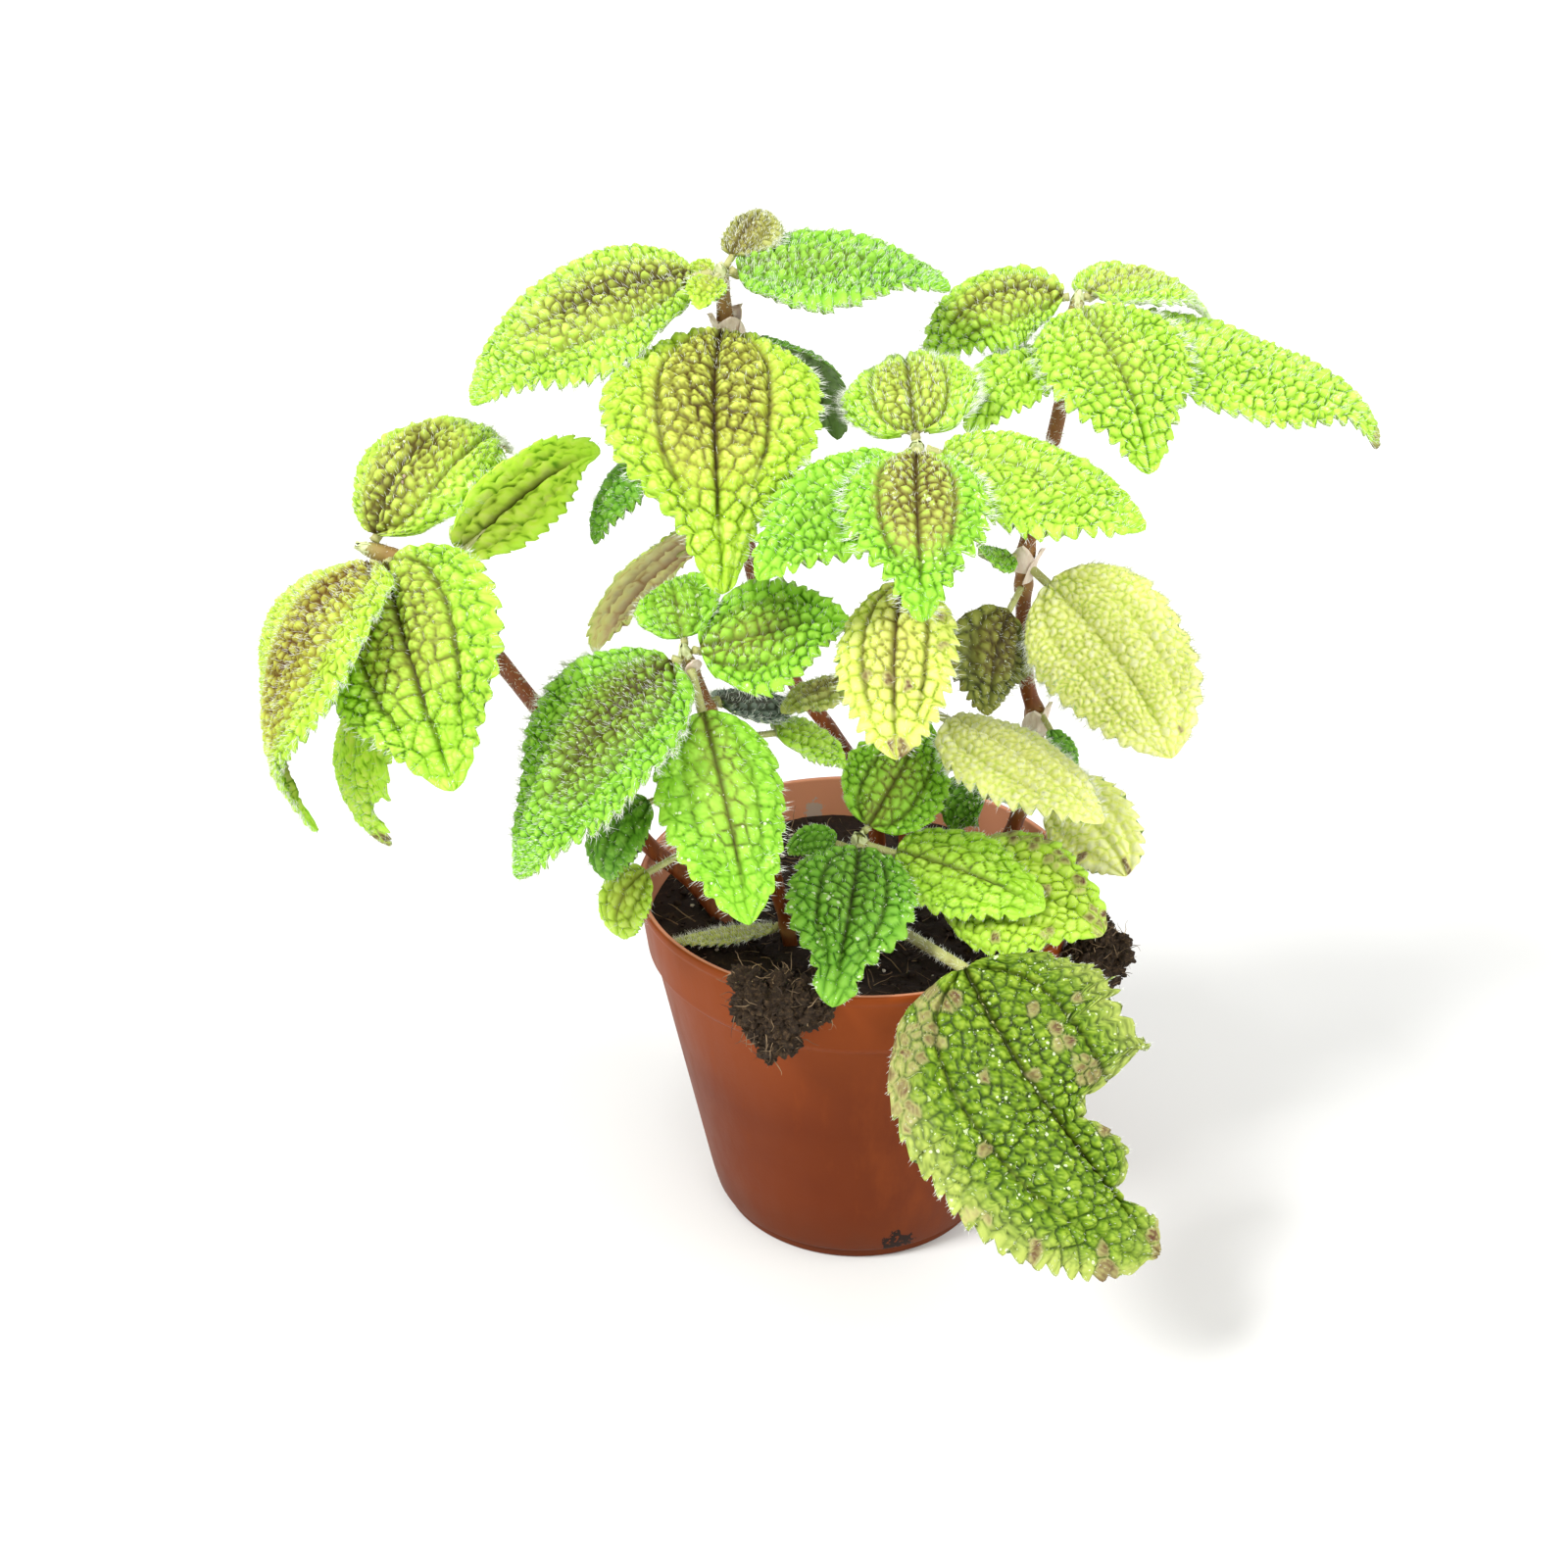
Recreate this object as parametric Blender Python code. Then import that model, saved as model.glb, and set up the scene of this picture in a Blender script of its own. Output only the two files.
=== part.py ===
"""A potted pilea: a quilted-leaf house plant in a round plastic nursery pot.

Metres, +Z up. The origin is the centre of the pot's base, which stands on z = 0, and the plant's
front faces -Y. Dimensions below are in millimetres and degrees and are turned to metres as they
are used. Each grown leaf, petiole and blade together, is one closed body, and so is each stem.
"""

import math
import random

import bmesh
import bpy
from mathutils import Matrix, Vector

for old in list(bpy.data.objects):
    bpy.data.objects.remove(old, do_unlink=True)

MM = 0.001
GAP = 0.3                   # clearance between pieces that touch

# ---- pot, mm -----------------------------------------------------------------------------------
POT_HEIGHT = 100.0
RIM_RADIUS = 60.0           # outer radius at the lip
RIM_DEPTH = 17.5            # height of the plain band under the lip
RIM_STEP = 2.4              # how far the body stands in from the band's lower edge
BODY_FOOT_RADIUS = 40.3     # outer radius where the tapering body ends
BODY_FOOT_HEIGHT = 4.6
FOOT_RADIUS = 38.0          # the ring that stands on the table
WALL = 1.7
FLOOR_THICKNESS = 2.2
POT_SEGMENTS = 48
DRAIN_HOLES = 6
DRAIN_RADIUS = 4.5
DRAIN_RING_RADIUS = 27.0
DRAIN_TURN = 11.0           # where the first hole lies, degrees from +X

# ---- compost, mm -------------------------------------------------------------------------------
SOIL_TOP = 88.0             # level at the wall
SOIL_MOUND = 0.8            # how much higher the middle lies
STEM_SINK = 10.0            # depth of each stem's root end below the level

# ---- plant, mm ---------------------------------------------------------------------------------
STEM_SIDES = 8
STEM_STEP = 5.0             # spacing of the rings along a stem
PETIOLE_RADIUS = 1.2
BLADE_THICKNESS = 1.0
TIP_RADIUS = 0.35
LONG_LEAF = 18.0            # leaves longer than this get the full set of rings


# ---- shared helpers ----------------------------------------------------------------------------
def material(name, colour, roughness, metallic=0.0):
    """A Principled material of one plain linear colour."""
    mat = bpy.data.materials.new(name)
    mat.use_nodes = True
    shader = mat.node_tree.nodes["Principled BSDF"]
    shader.inputs["Base Color"].default_value = (*colour, 1.0)
    shader.inputs["Roughness"].default_value = roughness
    shader.inputs["Metallic"].default_value = metallic
    mat.diffuse_color = (*colour, 1.0)
    return mat


def add_object(name, bm, mat, sharp_angle=40.0):
    """Turn a bmesh drawn in millimetres into a named, shaded object in metres."""
    bmesh.ops.scale(bm, vec=(MM, MM, MM), verts=bm.verts)
    bmesh.ops.recalc_face_normals(bm, faces=bm.faces)
    mesh = bpy.data.meshes.new(name)
    bm.to_mesh(mesh)
    bm.free()
    mesh.shade_smooth()
    mesh.set_sharp_from_angle(angle=math.radians(sharp_angle))
    mesh.materials.append(mat)
    obj = bpy.data.objects.new(name, mesh)
    bpy.context.scene.collection.objects.link(obj)
    return obj


def as_cutter(obj):
    obj.hide_render = True
    obj.display_type = "WIRE"
    return obj


def cut(target, cutter):
    """Take the cutter's volume out of the target."""
    modifier = target.modifiers.new("cut_" + cutter.name, "BOOLEAN")
    modifier.operation = "DIFFERENCE"
    modifier.solver = "EXACT"
    modifier.object = cutter


def turned(profile):
    """Spin an (r, z) outline that starts and ends on the axis into a closed body."""
    bm = bmesh.new()
    verts = [bm.verts.new((r, 0.0, z)) for r, z in profile]
    edges = [bm.edges.new(pair) for pair in zip(verts, verts[1:])]
    bmesh.ops.spin(
        bm,
        geom=verts + edges,
        cent=(0.0, 0.0, 0.0),
        axis=(0.0, 0.0, 1.0),
        angle=math.tau,
        steps=POT_SEGMENTS,
        use_duplicate=False,
    )
    bmesh.ops.remove_doubles(bm, verts=bm.verts, dist=0.001)
    return bm


def loft(rings):
    """Skin a list of equal rings and close both ends."""
    bm = bmesh.new()
    rows = [[bm.verts.new(point) for point in ring] for ring in rings]
    count = len(rows[0])
    for low, high in zip(rows, rows[1:]):
        for i in range(count):
            j = (i + 1) % count
            bm.faces.new((low[i], low[j], high[j], high[i]))
    bm.faces.new(rows[0])
    bm.faces.new(rows[-1])
    bmesh.ops.triangulate(bm, faces=bm.faces)
    return bm


def smooth_route(points, spacing):
    """Points every so often along a Catmull-Rom curve through the given ones."""
    knots = [Vector(point) for point in points]
    knots = [2 * knots[0] - knots[1], *knots, 2 * knots[-1] - knots[-2]]
    route = []
    for a, b, c, d in zip(knots, knots[1:], knots[2:], knots[3:]):
        steps = max(2, round((c - b).length / spacing))
        for step in range(steps):
            t = step / steps
            route.append(
                0.5 * (2 * b + (c - a) * t
                       + (2 * a - 5 * b + 4 * c - d) * t ** 2
                       + (3 * b - a - 3 * c + d) * t ** 3)
            )
    route.append(knots[-2])
    return route


# ---- pot ---------------------------------------------------------------------------------------
def slope_radius(height):
    """Outer radius of the tapering body at a height."""
    top = POT_HEIGHT - RIM_DEPTH - 2.0
    share = (height - BODY_FOOT_HEIGHT) / (top - BODY_FOOT_HEIGHT)
    return BODY_FOOT_RADIUS + share * (RIM_RADIUS - 1.2 - RIM_STEP - BODY_FOOT_RADIUS)


def pot_outside():
    """Outline of the outer side, from the axis out and up to the lip."""
    band_low = POT_HEIGHT - RIM_DEPTH
    return [
        (0.0, 0.0),
        (FOOT_RADIUS - 1.0, 0.0),
        (FOOT_RADIUS, 1.0),
        (FOOT_RADIUS, 3.2),
        (BODY_FOOT_RADIUS - 0.4, 3.8),
        (BODY_FOOT_RADIUS, BODY_FOOT_HEIGHT),
        (slope_radius(band_low - 2.0), band_low - 2.0),
        (RIM_RADIUS - 1.2, band_low),
        (RIM_RADIUS - 0.2, POT_HEIGHT - 1.0),
        (RIM_RADIUS - 0.6, POT_HEIGHT),
    ]


def pot_inside():
    """Outline of the inner side, from the lip down to the axis."""
    band_low = POT_HEIGHT - RIM_DEPTH
    return [
        (RIM_RADIUS - WALL - 0.6, POT_HEIGHT),
        (RIM_RADIUS - WALL - 1.0, POT_HEIGHT - 1.0),
        (RIM_RADIUS - WALL - 1.8, band_low + 1.0),
        (slope_radius(band_low - 2.0) - WALL, band_low - 1.5),
        (BODY_FOOT_RADIUS - WALL, BODY_FOOT_HEIGHT),
        (BODY_FOOT_RADIUS - WALL - 2.0, FLOOR_THICKNESS),
        (0.0, FLOOR_THICKNESS),
    ]


def build_pot(mat):
    pot = add_object("pot", turned(pot_outside() + pot_inside()), mat)
    for index in range(DRAIN_HOLES):
        bm = bmesh.new()
        turn = math.radians(DRAIN_TURN) + index / DRAIN_HOLES * math.tau
        place = Matrix.Translation((
            DRAIN_RING_RADIUS * math.cos(turn),
            DRAIN_RING_RADIUS * math.sin(turn),
            FLOOR_THICKNESS / 2,
        ))
        bmesh.ops.create_cone(
            bm, cap_ends=True, segments=12, radius1=DRAIN_RADIUS, radius2=DRAIN_RADIUS,
            depth=4 * FLOOR_THICKNESS, matrix=place,
        )
        cut(pot, as_cutter(add_object(f"drain_cutter_{index + 1}", bm, mat)))
    return pot


# ---- stems -------------------------------------------------------------------------------------
# Each route starts where the stem leaves the compost and ends at its top pair of leaves. Stem a
# creeps over the rim before it rises, as a trailing shoot does.
STEMS = {
    "a": (2.6, [(-35, -4, 86), (-46, 5, 96), (-57.5, 8.5, 105), (-71, -4, 133), (-82, -13, 156),
                (-90, -19, 172), (-99, -22, 186), (-108, -24, 198), (-119, -24, 203)]),
    "b": (2.4, [(8, 26, 86), (3, 21, 115), (-8, 13, 138), (-18, 12, 153), (-26, 11, 175),
                (-31, 10, 200), (-34, 8, 222), (-34, 5, 247), (-35, 1, 262)]),
    "c": (2.3, [(14, 10, 86), (13, 12, 115), (12, 7, 145), (12, -14, 175), (11, -32, 205),
                (9, -44, 234)]),
    "d": (2.4, [(30, 6, 86), (42, 8, 110), (47, 9, 139), (43, 9, 156), (41, 8, 188),
                (46, 11, 215), (49, 14, 232), (51, 16, 252)]),
    "e": (2.2, [(-18, -16, 86), (-24, -24, 120), (-34, -38, 155), (-43, -48, 187)]),
    "f": (2.0, [(3, -12, 86), (2, -16, 104), (-1, -21, 123)]),
}


def stem_route(name):
    points = STEMS[name][1]
    first, second = Vector(points[0]), Vector(points[1])
    down = (first - second).normalized()
    root = first + down * (first.z - SOIL_TOP + STEM_SINK) / -down.z
    return smooth_route([root, *points], STEM_STEP)


def tube_rings(route, radius):
    """Rings round a route, with a blunt cap past its far end."""
    rings = []
    route = [*route, route[-1] + (route[-1] - route[-2]).normalized() * radius * 0.5]
    for index, centre in enumerate(route):
        before = route[max(index - 1, 0)]
        after = route[min(index + 1, len(route) - 1)]
        along = (after - before).normalized()
        side = along.cross(Vector((0.0, 1.0, 0.0))).normalized()
        other = along.cross(side)
        width = radius * (0.6 if index == len(route) - 1 else 1.0)
        ring = []
        for corner in range(STEM_SIDES):
            turn = corner / STEM_SIDES * math.tau
            ring.append(centre + width * (math.cos(turn) * side + math.sin(turn) * other))
        rings.append(ring)
    return rings


def build_stems(mat):
    for name, (radius, _) in STEMS.items():
        add_object("stem_" + name, loft(tube_rings(stem_route(name), radius)), mat)


# ---- compost -----------------------------------------------------------------------------------
def build_soil(mat):
    """The plug of compost that fills the pot, with a blind socket for each stem's root end."""
    inside = [(r - GAP, z) for r, z in pot_inside() if r > 0.0 and z < SOIL_TOP]
    wall_top = pot_inside()[1]
    wall_low = inside[0]
    share = (SOIL_TOP - wall_low[1]) / (wall_top[1] - wall_low[1])
    edge_radius = wall_low[0] + share * (wall_top[0] - GAP - wall_low[0])
    outline = [(0.0, FLOOR_THICKNESS + GAP), (inside[-1][0], FLOOR_THICKNESS + GAP)]
    outline += reversed(inside[:-1])
    outline += [
        (edge_radius, SOIL_TOP),
        (edge_radius * 0.66, SOIL_TOP + SOIL_MOUND * 0.6),
        (edge_radius * 0.33, SOIL_TOP + SOIL_MOUND),
        (0.0, SOIL_TOP + SOIL_MOUND),
    ]
    soil = add_object("soil", turned(outline), mat)
    for name, (radius, _) in STEMS.items():
        route = stem_route(name)
        route = [point for point in route if point.z < SOIL_TOP + 8.0]
        below = route[0] + (route[0] - route[1]).normalized() * GAP
        rings = tube_rings([below, *route[1:], 2 * route[-1] - route[-2]], radius + 1.2 * GAP)
        cut(soil, as_cutter(add_object("socket_cutter_" + name, loft(rings), mat)))
    return soil


# A matted lump of peat hangs over the rim at each place: centre, radii and a turn about Z.
CLUMPS = {
    "peat_clump_front": ((-21.0, -57.5, 93.5), (12.5, 7.0, 10.5), 20.0),
    "peat_clump_right": ((57.0, -26.0, 93.5), (10.0, 9.5, 14.5), -25.0),
}


def build_clumps(mat):
    """Lumps of peat, cut back to sit just clear of the pot and the compost."""
    outline = [(0.0, SOIL_TOP - 8.0), (slope_radius(74.0) + GAP, SOIL_TOP - 14.0)]
    outline += [(r + GAP, z) for r, z in pot_outside() if z > SOIL_TOP - 12.0]
    outline[-1] = (RIM_RADIUS - 0.6 + GAP, POT_HEIGHT + GAP)
    outline += [
        (RIM_RADIUS - WALL - 0.6 - GAP, POT_HEIGHT + GAP),
        (RIM_RADIUS - WALL - 1.0 - GAP, POT_HEIGHT - 1.0),
        (RIM_RADIUS - WALL - 1.8 - GAP, SOIL_TOP + GAP),
        (0.0, SOIL_TOP + SOIL_MOUND + GAP),
    ]
    seat = as_cutter(add_object("clump_seat", turned(outline), mat))
    for name, (centre, radii, turn) in CLUMPS.items():
        noise = random.Random(name)
        bm = bmesh.new()
        bmesh.ops.create_icosphere(bm, subdivisions=2, radius=1.0)
        for vert in bm.verts:
            vert.co *= noise.uniform(0.84, 1.12)
        bmesh.ops.scale(bm, vec=radii, verts=bm.verts)
        bmesh.ops.rotate(bm, matrix=Matrix.Rotation(math.radians(turn), 3, "Z"), verts=bm.verts)
        bmesh.ops.translate(bm, vec=centre, verts=bm.verts)
        cut(add_object(name, bm, mat), seat)


# ---- leaves ------------------------------------------------------------------------------------
# One row a leaf: name, tone, stem, height on the stem; heading (0 is +X, -90 is to the front) and
# pitch of the petiole; petiole length, blade length and width; then how the blade turns: droop
# along its length, roll about its midrib, cup across it, bend to its left, curl at its tip.
LEAVES = [
    # shoot a, which trails to the left
    ("leaf_a1", "lime", "a", 201, -135, -15, 1, 77, 61, 110, 15, 10, -10, 0),
    ("leaf_a2", "lime", "a", 201, -80, -10, 1, 63, 46, 55, 35, 10, 30, 0),
    ("leaf_a3", "lime", "a", 202, 50, 75, 1, 56, 41, 125, 5, 50, 10, 0),
    ("leaf_a4", "lime", "a", 194, 30, 40, 7, 43, 33, 20, -60, 15, -5, 40),
    ("leaf_a5", "lime", "a", 188, -150, -40, 17, 54, 36, 85, 5, 20, 15, 20),
    # shoot b, the tallest, with its young pair at the top
    ("leaf_b1", "green", "b", 261, -170, 0, 4, 63, 42, 55, -25, 20, -5, 10),
    ("leaf_b2", "green", "b", 261, 5, 10, 1, 51, 35, 25, 15, 5, -15, 20),
    ("leaf_b3", "lime", "b", 247, -95, 5, 5, 77, 49, 85, 0, 15, 15, 0),
    ("leaf_b4", "lime", "b", 260, 60, 45, 3, 20, 14, 45, 10, 20, 5, 20),
    ("leaf_b5", "deep", "b", 247, 40, -20, 7, 41, 26, 60, -10, 20, -5, 0),
    ("leaf_b6", "deep", "b", 222, -160, -5, 8, 38, 27, 75, 5, 35, 10, 20),
    ("leaf_b7", "pale", "b", 260, -105, 15, 2, 14, 10, 70, -10, 30, 0, 0),
    ("leaf_b8", "pale", "b", 259, 135, 30, 1, 8, 6, 50, -30, 25, 0, 0),
    ("leaf_b9", "green", "b", 200, -160, -25, 10, 40, 32, 40, 45, 5, -5, 0),
    # shoot c, which leans to the front
    ("leaf_c1", "green", "c", 233, 95, 40, 1, 46, 35, 70, -10, 40, -10, 0),
    ("leaf_c2", "lime", "c", 233, -95, 5, 3, 48, 32, 70, 0, 15, 10, 0),
    ("leaf_c3", "lime", "c", 233, -15, 0, 3, 48, 35, 30, 15, 25, -10, 0),
    ("leaf_c4", "green", "c", 233, -145, -10, 3, 43, 26, 35, -20, 25, 0, 10),
    ("leaf_c5", "pale", "c", 212, -105, -25, 15, 42, 29, 50, 15, 20, 25, 0),
    ("leaf_c6", "green", "c", 170, -140, 0, 20, 20, 15, 20, 0, 30, 0, 0),
    ("leaf_c7", "pale", "c", 150, -45, 0, 12, 50, 36, 30, 0, 35, 5, 0),
    # shoot d, at the back right
    ("leaf_d1", "lime", "d", 251, -175, 25, 1, 42, 27, 105, -30, 40, 10, 0),
    ("leaf_d2", "lime", "d", 250, -80, 0, 2, 52, 37, 70, 10, 10, 20, 10),
    ("leaf_d3", "lime", "d", 250, 40, 25, 1, 42, 32, 80, 5, 20, -30, 0),
    ("leaf_d4", "lime", "d", 249, -15, -10, 10, 70, 47, 15, 10, 20, 0, 60),
    ("leaf_d5", "lime", "d", 240, -130, 10, 8, 35, 24, 70, -5, 35, -5, 0),
    ("leaf_d6", "pale", "d", 187, -50, -20, 6, 55, 39, 35, 40, 15, 5, 10),
    ("leaf_d7", "green", "d", 190, -140, 0, 2, 14, 11, -45, -25, 20, 0, 0),
    ("leaf_d8", "deep", "d", 146, -60, -20, 5, 13, 10, 30, -15, 20, 5, 0),
    ("leaf_d9", "deep", "d", 182, -115, -25, 8, 28, 22, 60, -45, 30, 10, 0),
    ("leaf_d10", "pale", "d", 120, -40, 10, 4, 32, 24, 70, 50, 15, -10, 0),
    ("leaf_d11", "deep", "d", 118, 165, 5, 7, 20, 17, 145, -55, 25, -5, 40),
    # shoot e, which leans over the front left of the rim
    ("leaf_e1", "green", "e", 186, -145, -25, 1, 63, 47, 45, -5, 5, -15, 0),
    ("leaf_e2", "lime", "e", 184, -70, -40, 10, 50, 32, 30, 5, 30, 5, 0),
    ("leaf_e3", "green", "e", 186, 5, 15, 1, 35, 29, 5, 30, 10, -5, 30),
    ("leaf_e4", "green", "e", 184, 110, 55, 1, 24, 19, 80, -20, 20, -20, 0),
    ("leaf_e5", "lime", "e", 160, 25, 0, 11, 24, 19, 65, 10, 35, -25, 40),
    ("leaf_e6", "deep", "e", 150, -150, -5, 20, 26, 19, 100, -5, 25, 25, 40),
    ("leaf_e7", "pale", "e", 135, -150, -15, 28, 22, 17, 105, -15, 25, 10, 20),
    ("leaf_e8", "deep", "e", 172, 45, -15, 1, 26, 18, 5, 10, 30, 0, 20),
    ("leaf_e9", "pale", "e", 95, 175, -10, 1, 29, 12, -10, 10, 25, 25, 0),
    # shoot f, short and in the middle of the front
    ("leaf_f1", "deep", "f", 121, -95, 5, 1, 51, 33, 50, -5, 5, -10, 10),
    ("leaf_f2", "deep", "f", 122, 40, 50, 1, 35, 29, 35, 25, 20, 30, 0),
    ("leaf_f3", "green", "f", 121, -15, -5, 7, 41, 28, 10, 25, 20, -20, 0),
    ("leaf_f4", "deep", "f", 118, 170, 20, 4, 14, 10, 70, -35, 20, 25, 20),
    ("leaf_f5", "green", "f", 106, -20, 15, 18, 45, 38, 40, 30, 15, -5, 30),
]
# The one old leaf, on a long petiole that clears the rim, so that its blade hangs outside the pot.
OLD_LEAF = ("leaf_f6", "lime", "f", 97, -65, 13, 48, 85, 69, 25, 25, 10, 60, 0)
OLD_LEAF_NOD = 45           # how much the old blade bends down from its petiole

BLADE_RINGS = (0.02, 0.07, 0.15, 0.25, 0.36, 0.48, 0.60, 0.71, 0.81, 0.90, 0.96, 1.0)
SMALL_BLADE_RINGS = (0.05, 0.18, 0.36, 0.56, 0.76, 0.92, 1.0)
BLADE_STEPS = 60            # fine steps used to follow the midrib


def blade_shape(share):
    """Half width along the blade as a share of its widest: round at the base, drawn out at the tip."""
    widest = 0.375
    low, high = 0.45, 0.75
    shape = (share ** low) * ((1.0 - share) ** high)
    return shape / ((widest ** low) * ((1.0 - widest) ** high))


def direction(heading, pitch):
    heading, pitch = math.radians(heading), math.radians(pitch)
    return Vector((
        math.cos(heading) * math.cos(pitch),
        math.sin(heading) * math.cos(pitch),
        math.sin(pitch),
    ))


def petiole_start(stem, height, outward):
    """Where a petiole's end lies just clear of its stem's skin."""
    route = smooth_route(STEMS[stem][1], 0.5)
    index = min(range(1, len(route)), key=lambda i: abs(route[i].z - height))
    along = (route[index] - route[index - 1]).normalized()
    slant = abs(outward.dot(along))
    reach = (STEMS[stem][0] + GAP + PETIOLE_RADIUS * slant) / max(math.sqrt(1.0 - slant ** 2), 0.6)
    return route[index] + outward * reach


def leaf_rings(row, nod=0.0):
    """Six-sided rings from the petiole's root to the blade's tip: two margins, three points over
    the upper side and one under the midrib."""
    name, _, stem, height, heading, pitch, petiole, length, width, droop, roll, cup, bend, curl = row
    outward = direction(heading, pitch)
    start = petiole_start(stem, height, outward)
    base = start + outward * petiole

    def turned_to(share):
        tip_share = max(share - 0.75, 0.0) / 0.25
        fall = nod + droop * share + curl * tip_share ** 1.5
        return heading + bend * share, pitch - fall

    def frame(share):
        now_heading, now_pitch = turned_to(share)
        along = direction(now_heading, now_pitch)
        left = direction(now_heading + 90.0, 0.0)
        up = along.cross(left)
        tilt = math.radians(roll)
        return (left * math.cos(tilt) + up * math.sin(tilt),
                up * math.cos(tilt) - left * math.sin(tilt))

    midrib = [base]
    for step in range(BLADE_STEPS):
        along = direction(*turned_to((step + 0.5) / BLADE_STEPS))
        midrib.append(midrib[-1] + along * length / BLADE_STEPS)

    def petiole_ring(centre, radius):
        left, up = frame(0.0)
        corners = ((1, 0), (0.7, 0.7), (0, 1), (-0.7, 0.7), (-1, 0), (0, -1))
        return [centre + radius * (x * left + z * up) for x, z in corners]

    rings = [petiole_ring(start.lerp(base, share), PETIOLE_RADIUS) for share in (0.0, 0.5)]
    shares = BLADE_RINGS if length > LONG_LEAF else SMALL_BLADE_RINGS
    if petiole < 4.0:
        rings = rings[:1]
    for share in shares:
        spot = share * BLADE_STEPS
        step = min(int(spot), BLADE_STEPS - 1)
        centre = midrib[step].lerp(midrib[step + 1], spot - step)
        left, up = frame(share)
        half = max(width / 2 * blade_shape(share), TIP_RADIUS)
        arc = math.radians(cup)
        ring = []
        for across in (1.0, 0.5, 0.0, -0.5, -1.0):
            aside = half * math.sin(arc * across) / arc
            fall = half * (1.0 - math.cos(arc * across)) / arc
            ring.append(centre + left * aside - up * fall)
        ring.append(centre - up * min(BLADE_THICKNESS, half))
        rings.append(ring)
    return rings


def build_leaves(mats):
    for row in LEAVES:
        add_object(row[0], loft(leaf_rings(row)), mats[row[1]])
    add_object(OLD_LEAF[0], loft(leaf_rings(OLD_LEAF, OLD_LEAF_NOD)), mats[OLD_LEAF[1]])


# ---- the part ----------------------------------------------------------------------------------
leaf_materials = {
    "lime": material("leaf_lime", (0.42, 0.66, 0.07), 0.55),
    "green": material("leaf_green", (0.24, 0.50, 0.06), 0.55),
    "deep": material("leaf_deep", (0.09, 0.27, 0.03), 0.50),
    "pale": material("leaf_pale", (0.70, 0.78, 0.20), 0.60),
}
terracotta_plastic = material("pot_plastic", (0.36, 0.11, 0.05), 0.50)
peat = material("peat", (0.02, 0.014, 0.01), 0.95)
stem_skin = material("stem_skin", (0.14, 0.045, 0.03), 0.45)

build_pot(terracotta_plastic)
build_soil(peat)
build_clumps(peat)
build_stems(stem_skin)
build_leaves(leaf_materials)
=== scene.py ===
import math
import random
from types import SimpleNamespace

import bmesh
import bpy
import numpy as np
from mathutils import Matrix, Vector, noise


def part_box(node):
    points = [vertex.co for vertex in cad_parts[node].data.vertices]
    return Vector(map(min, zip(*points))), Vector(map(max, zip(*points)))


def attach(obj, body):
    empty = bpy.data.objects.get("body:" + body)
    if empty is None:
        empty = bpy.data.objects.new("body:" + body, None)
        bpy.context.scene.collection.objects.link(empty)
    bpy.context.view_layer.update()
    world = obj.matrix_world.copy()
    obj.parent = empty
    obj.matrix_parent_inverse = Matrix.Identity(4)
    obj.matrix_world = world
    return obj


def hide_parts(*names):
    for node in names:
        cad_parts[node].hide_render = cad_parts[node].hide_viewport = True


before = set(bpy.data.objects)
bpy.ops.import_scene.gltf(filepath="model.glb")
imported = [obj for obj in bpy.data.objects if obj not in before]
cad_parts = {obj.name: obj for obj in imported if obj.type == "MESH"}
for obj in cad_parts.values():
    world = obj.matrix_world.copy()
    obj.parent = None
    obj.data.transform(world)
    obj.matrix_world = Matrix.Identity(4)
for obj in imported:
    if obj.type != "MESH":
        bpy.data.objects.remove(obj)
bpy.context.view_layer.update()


# ---- Nursery pot ---------------------------------------------------------------------------------
# A round 12 cm nursery pot, injection moulded in one piece from terracotta-coloured polypropylene:
# a plain band under the lip stands proud of a tapering wall, which ends in a small foot ring. Water
# drains through a ring of holes in its base. All sizes are in millimetres.
POT_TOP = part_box("pot")[1].z * 1000
LIP_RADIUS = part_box("pot")[1].x * 1000
WALL = 1.7
BAND_LOW = POT_TOP - 17.5            # lower edge of the band
BAND_STEP = 1.7                      # how far the band stands proud of the wall
BAND_RADIUS = LIP_RADIUS - 2.3       # outside of the band at its lower edge
FOOT_RADIUS = 38.0
BASE_THICK = 2.2
POT_TURNS = 160
DRAIN_HOLES = 6
DRAIN_RADIUS = 4.5
DRAIN_CIRCLE = 27.0                  # how far the holes stand from the middle
DRAIN_START = 11.0                   # heading of the first hole, in degrees
DRAIN_TURNS = 36


def srgb(code):
    """A hex colour such as "8a4a2b" as linear RGBA."""
    parts = [int(code[i:i + 2], 16) / 255 for i in (0, 2, 4)]
    return (*[p / 12.92 if p <= 0.04045 else ((p + 0.055) / 1.055) ** 2.4 for p in parts], 1.0)


def add_node(tree, kind, inputs=None, **settings):
    """Add a shader node, set its own settings, and fill or link its inputs."""
    made = tree.nodes.new("ShaderNode" + kind)
    for name, value in settings.items():
        setattr(made, name, value)
    for socket, value in (inputs or {}).items():
        if isinstance(value, bpy.types.NodeSocket):
            tree.links.new(value, made.inputs[socket])
        else:
            made.inputs[socket].default_value = value
    return made


def new_material(name, roughness, **values):
    """A material that is only its shader so far: the material, its node tree and the shader."""
    mat = bpy.data.materials.new(name)
    mat.use_nodes = True
    shader = mat.node_tree.nodes["Principled BSDF"]
    shader.inputs["Roughness"].default_value = roughness
    for socket, value in values.items():
        shader.inputs[socket.replace("_", " ")].default_value = value
    return mat, mat.node_tree, shader


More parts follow.
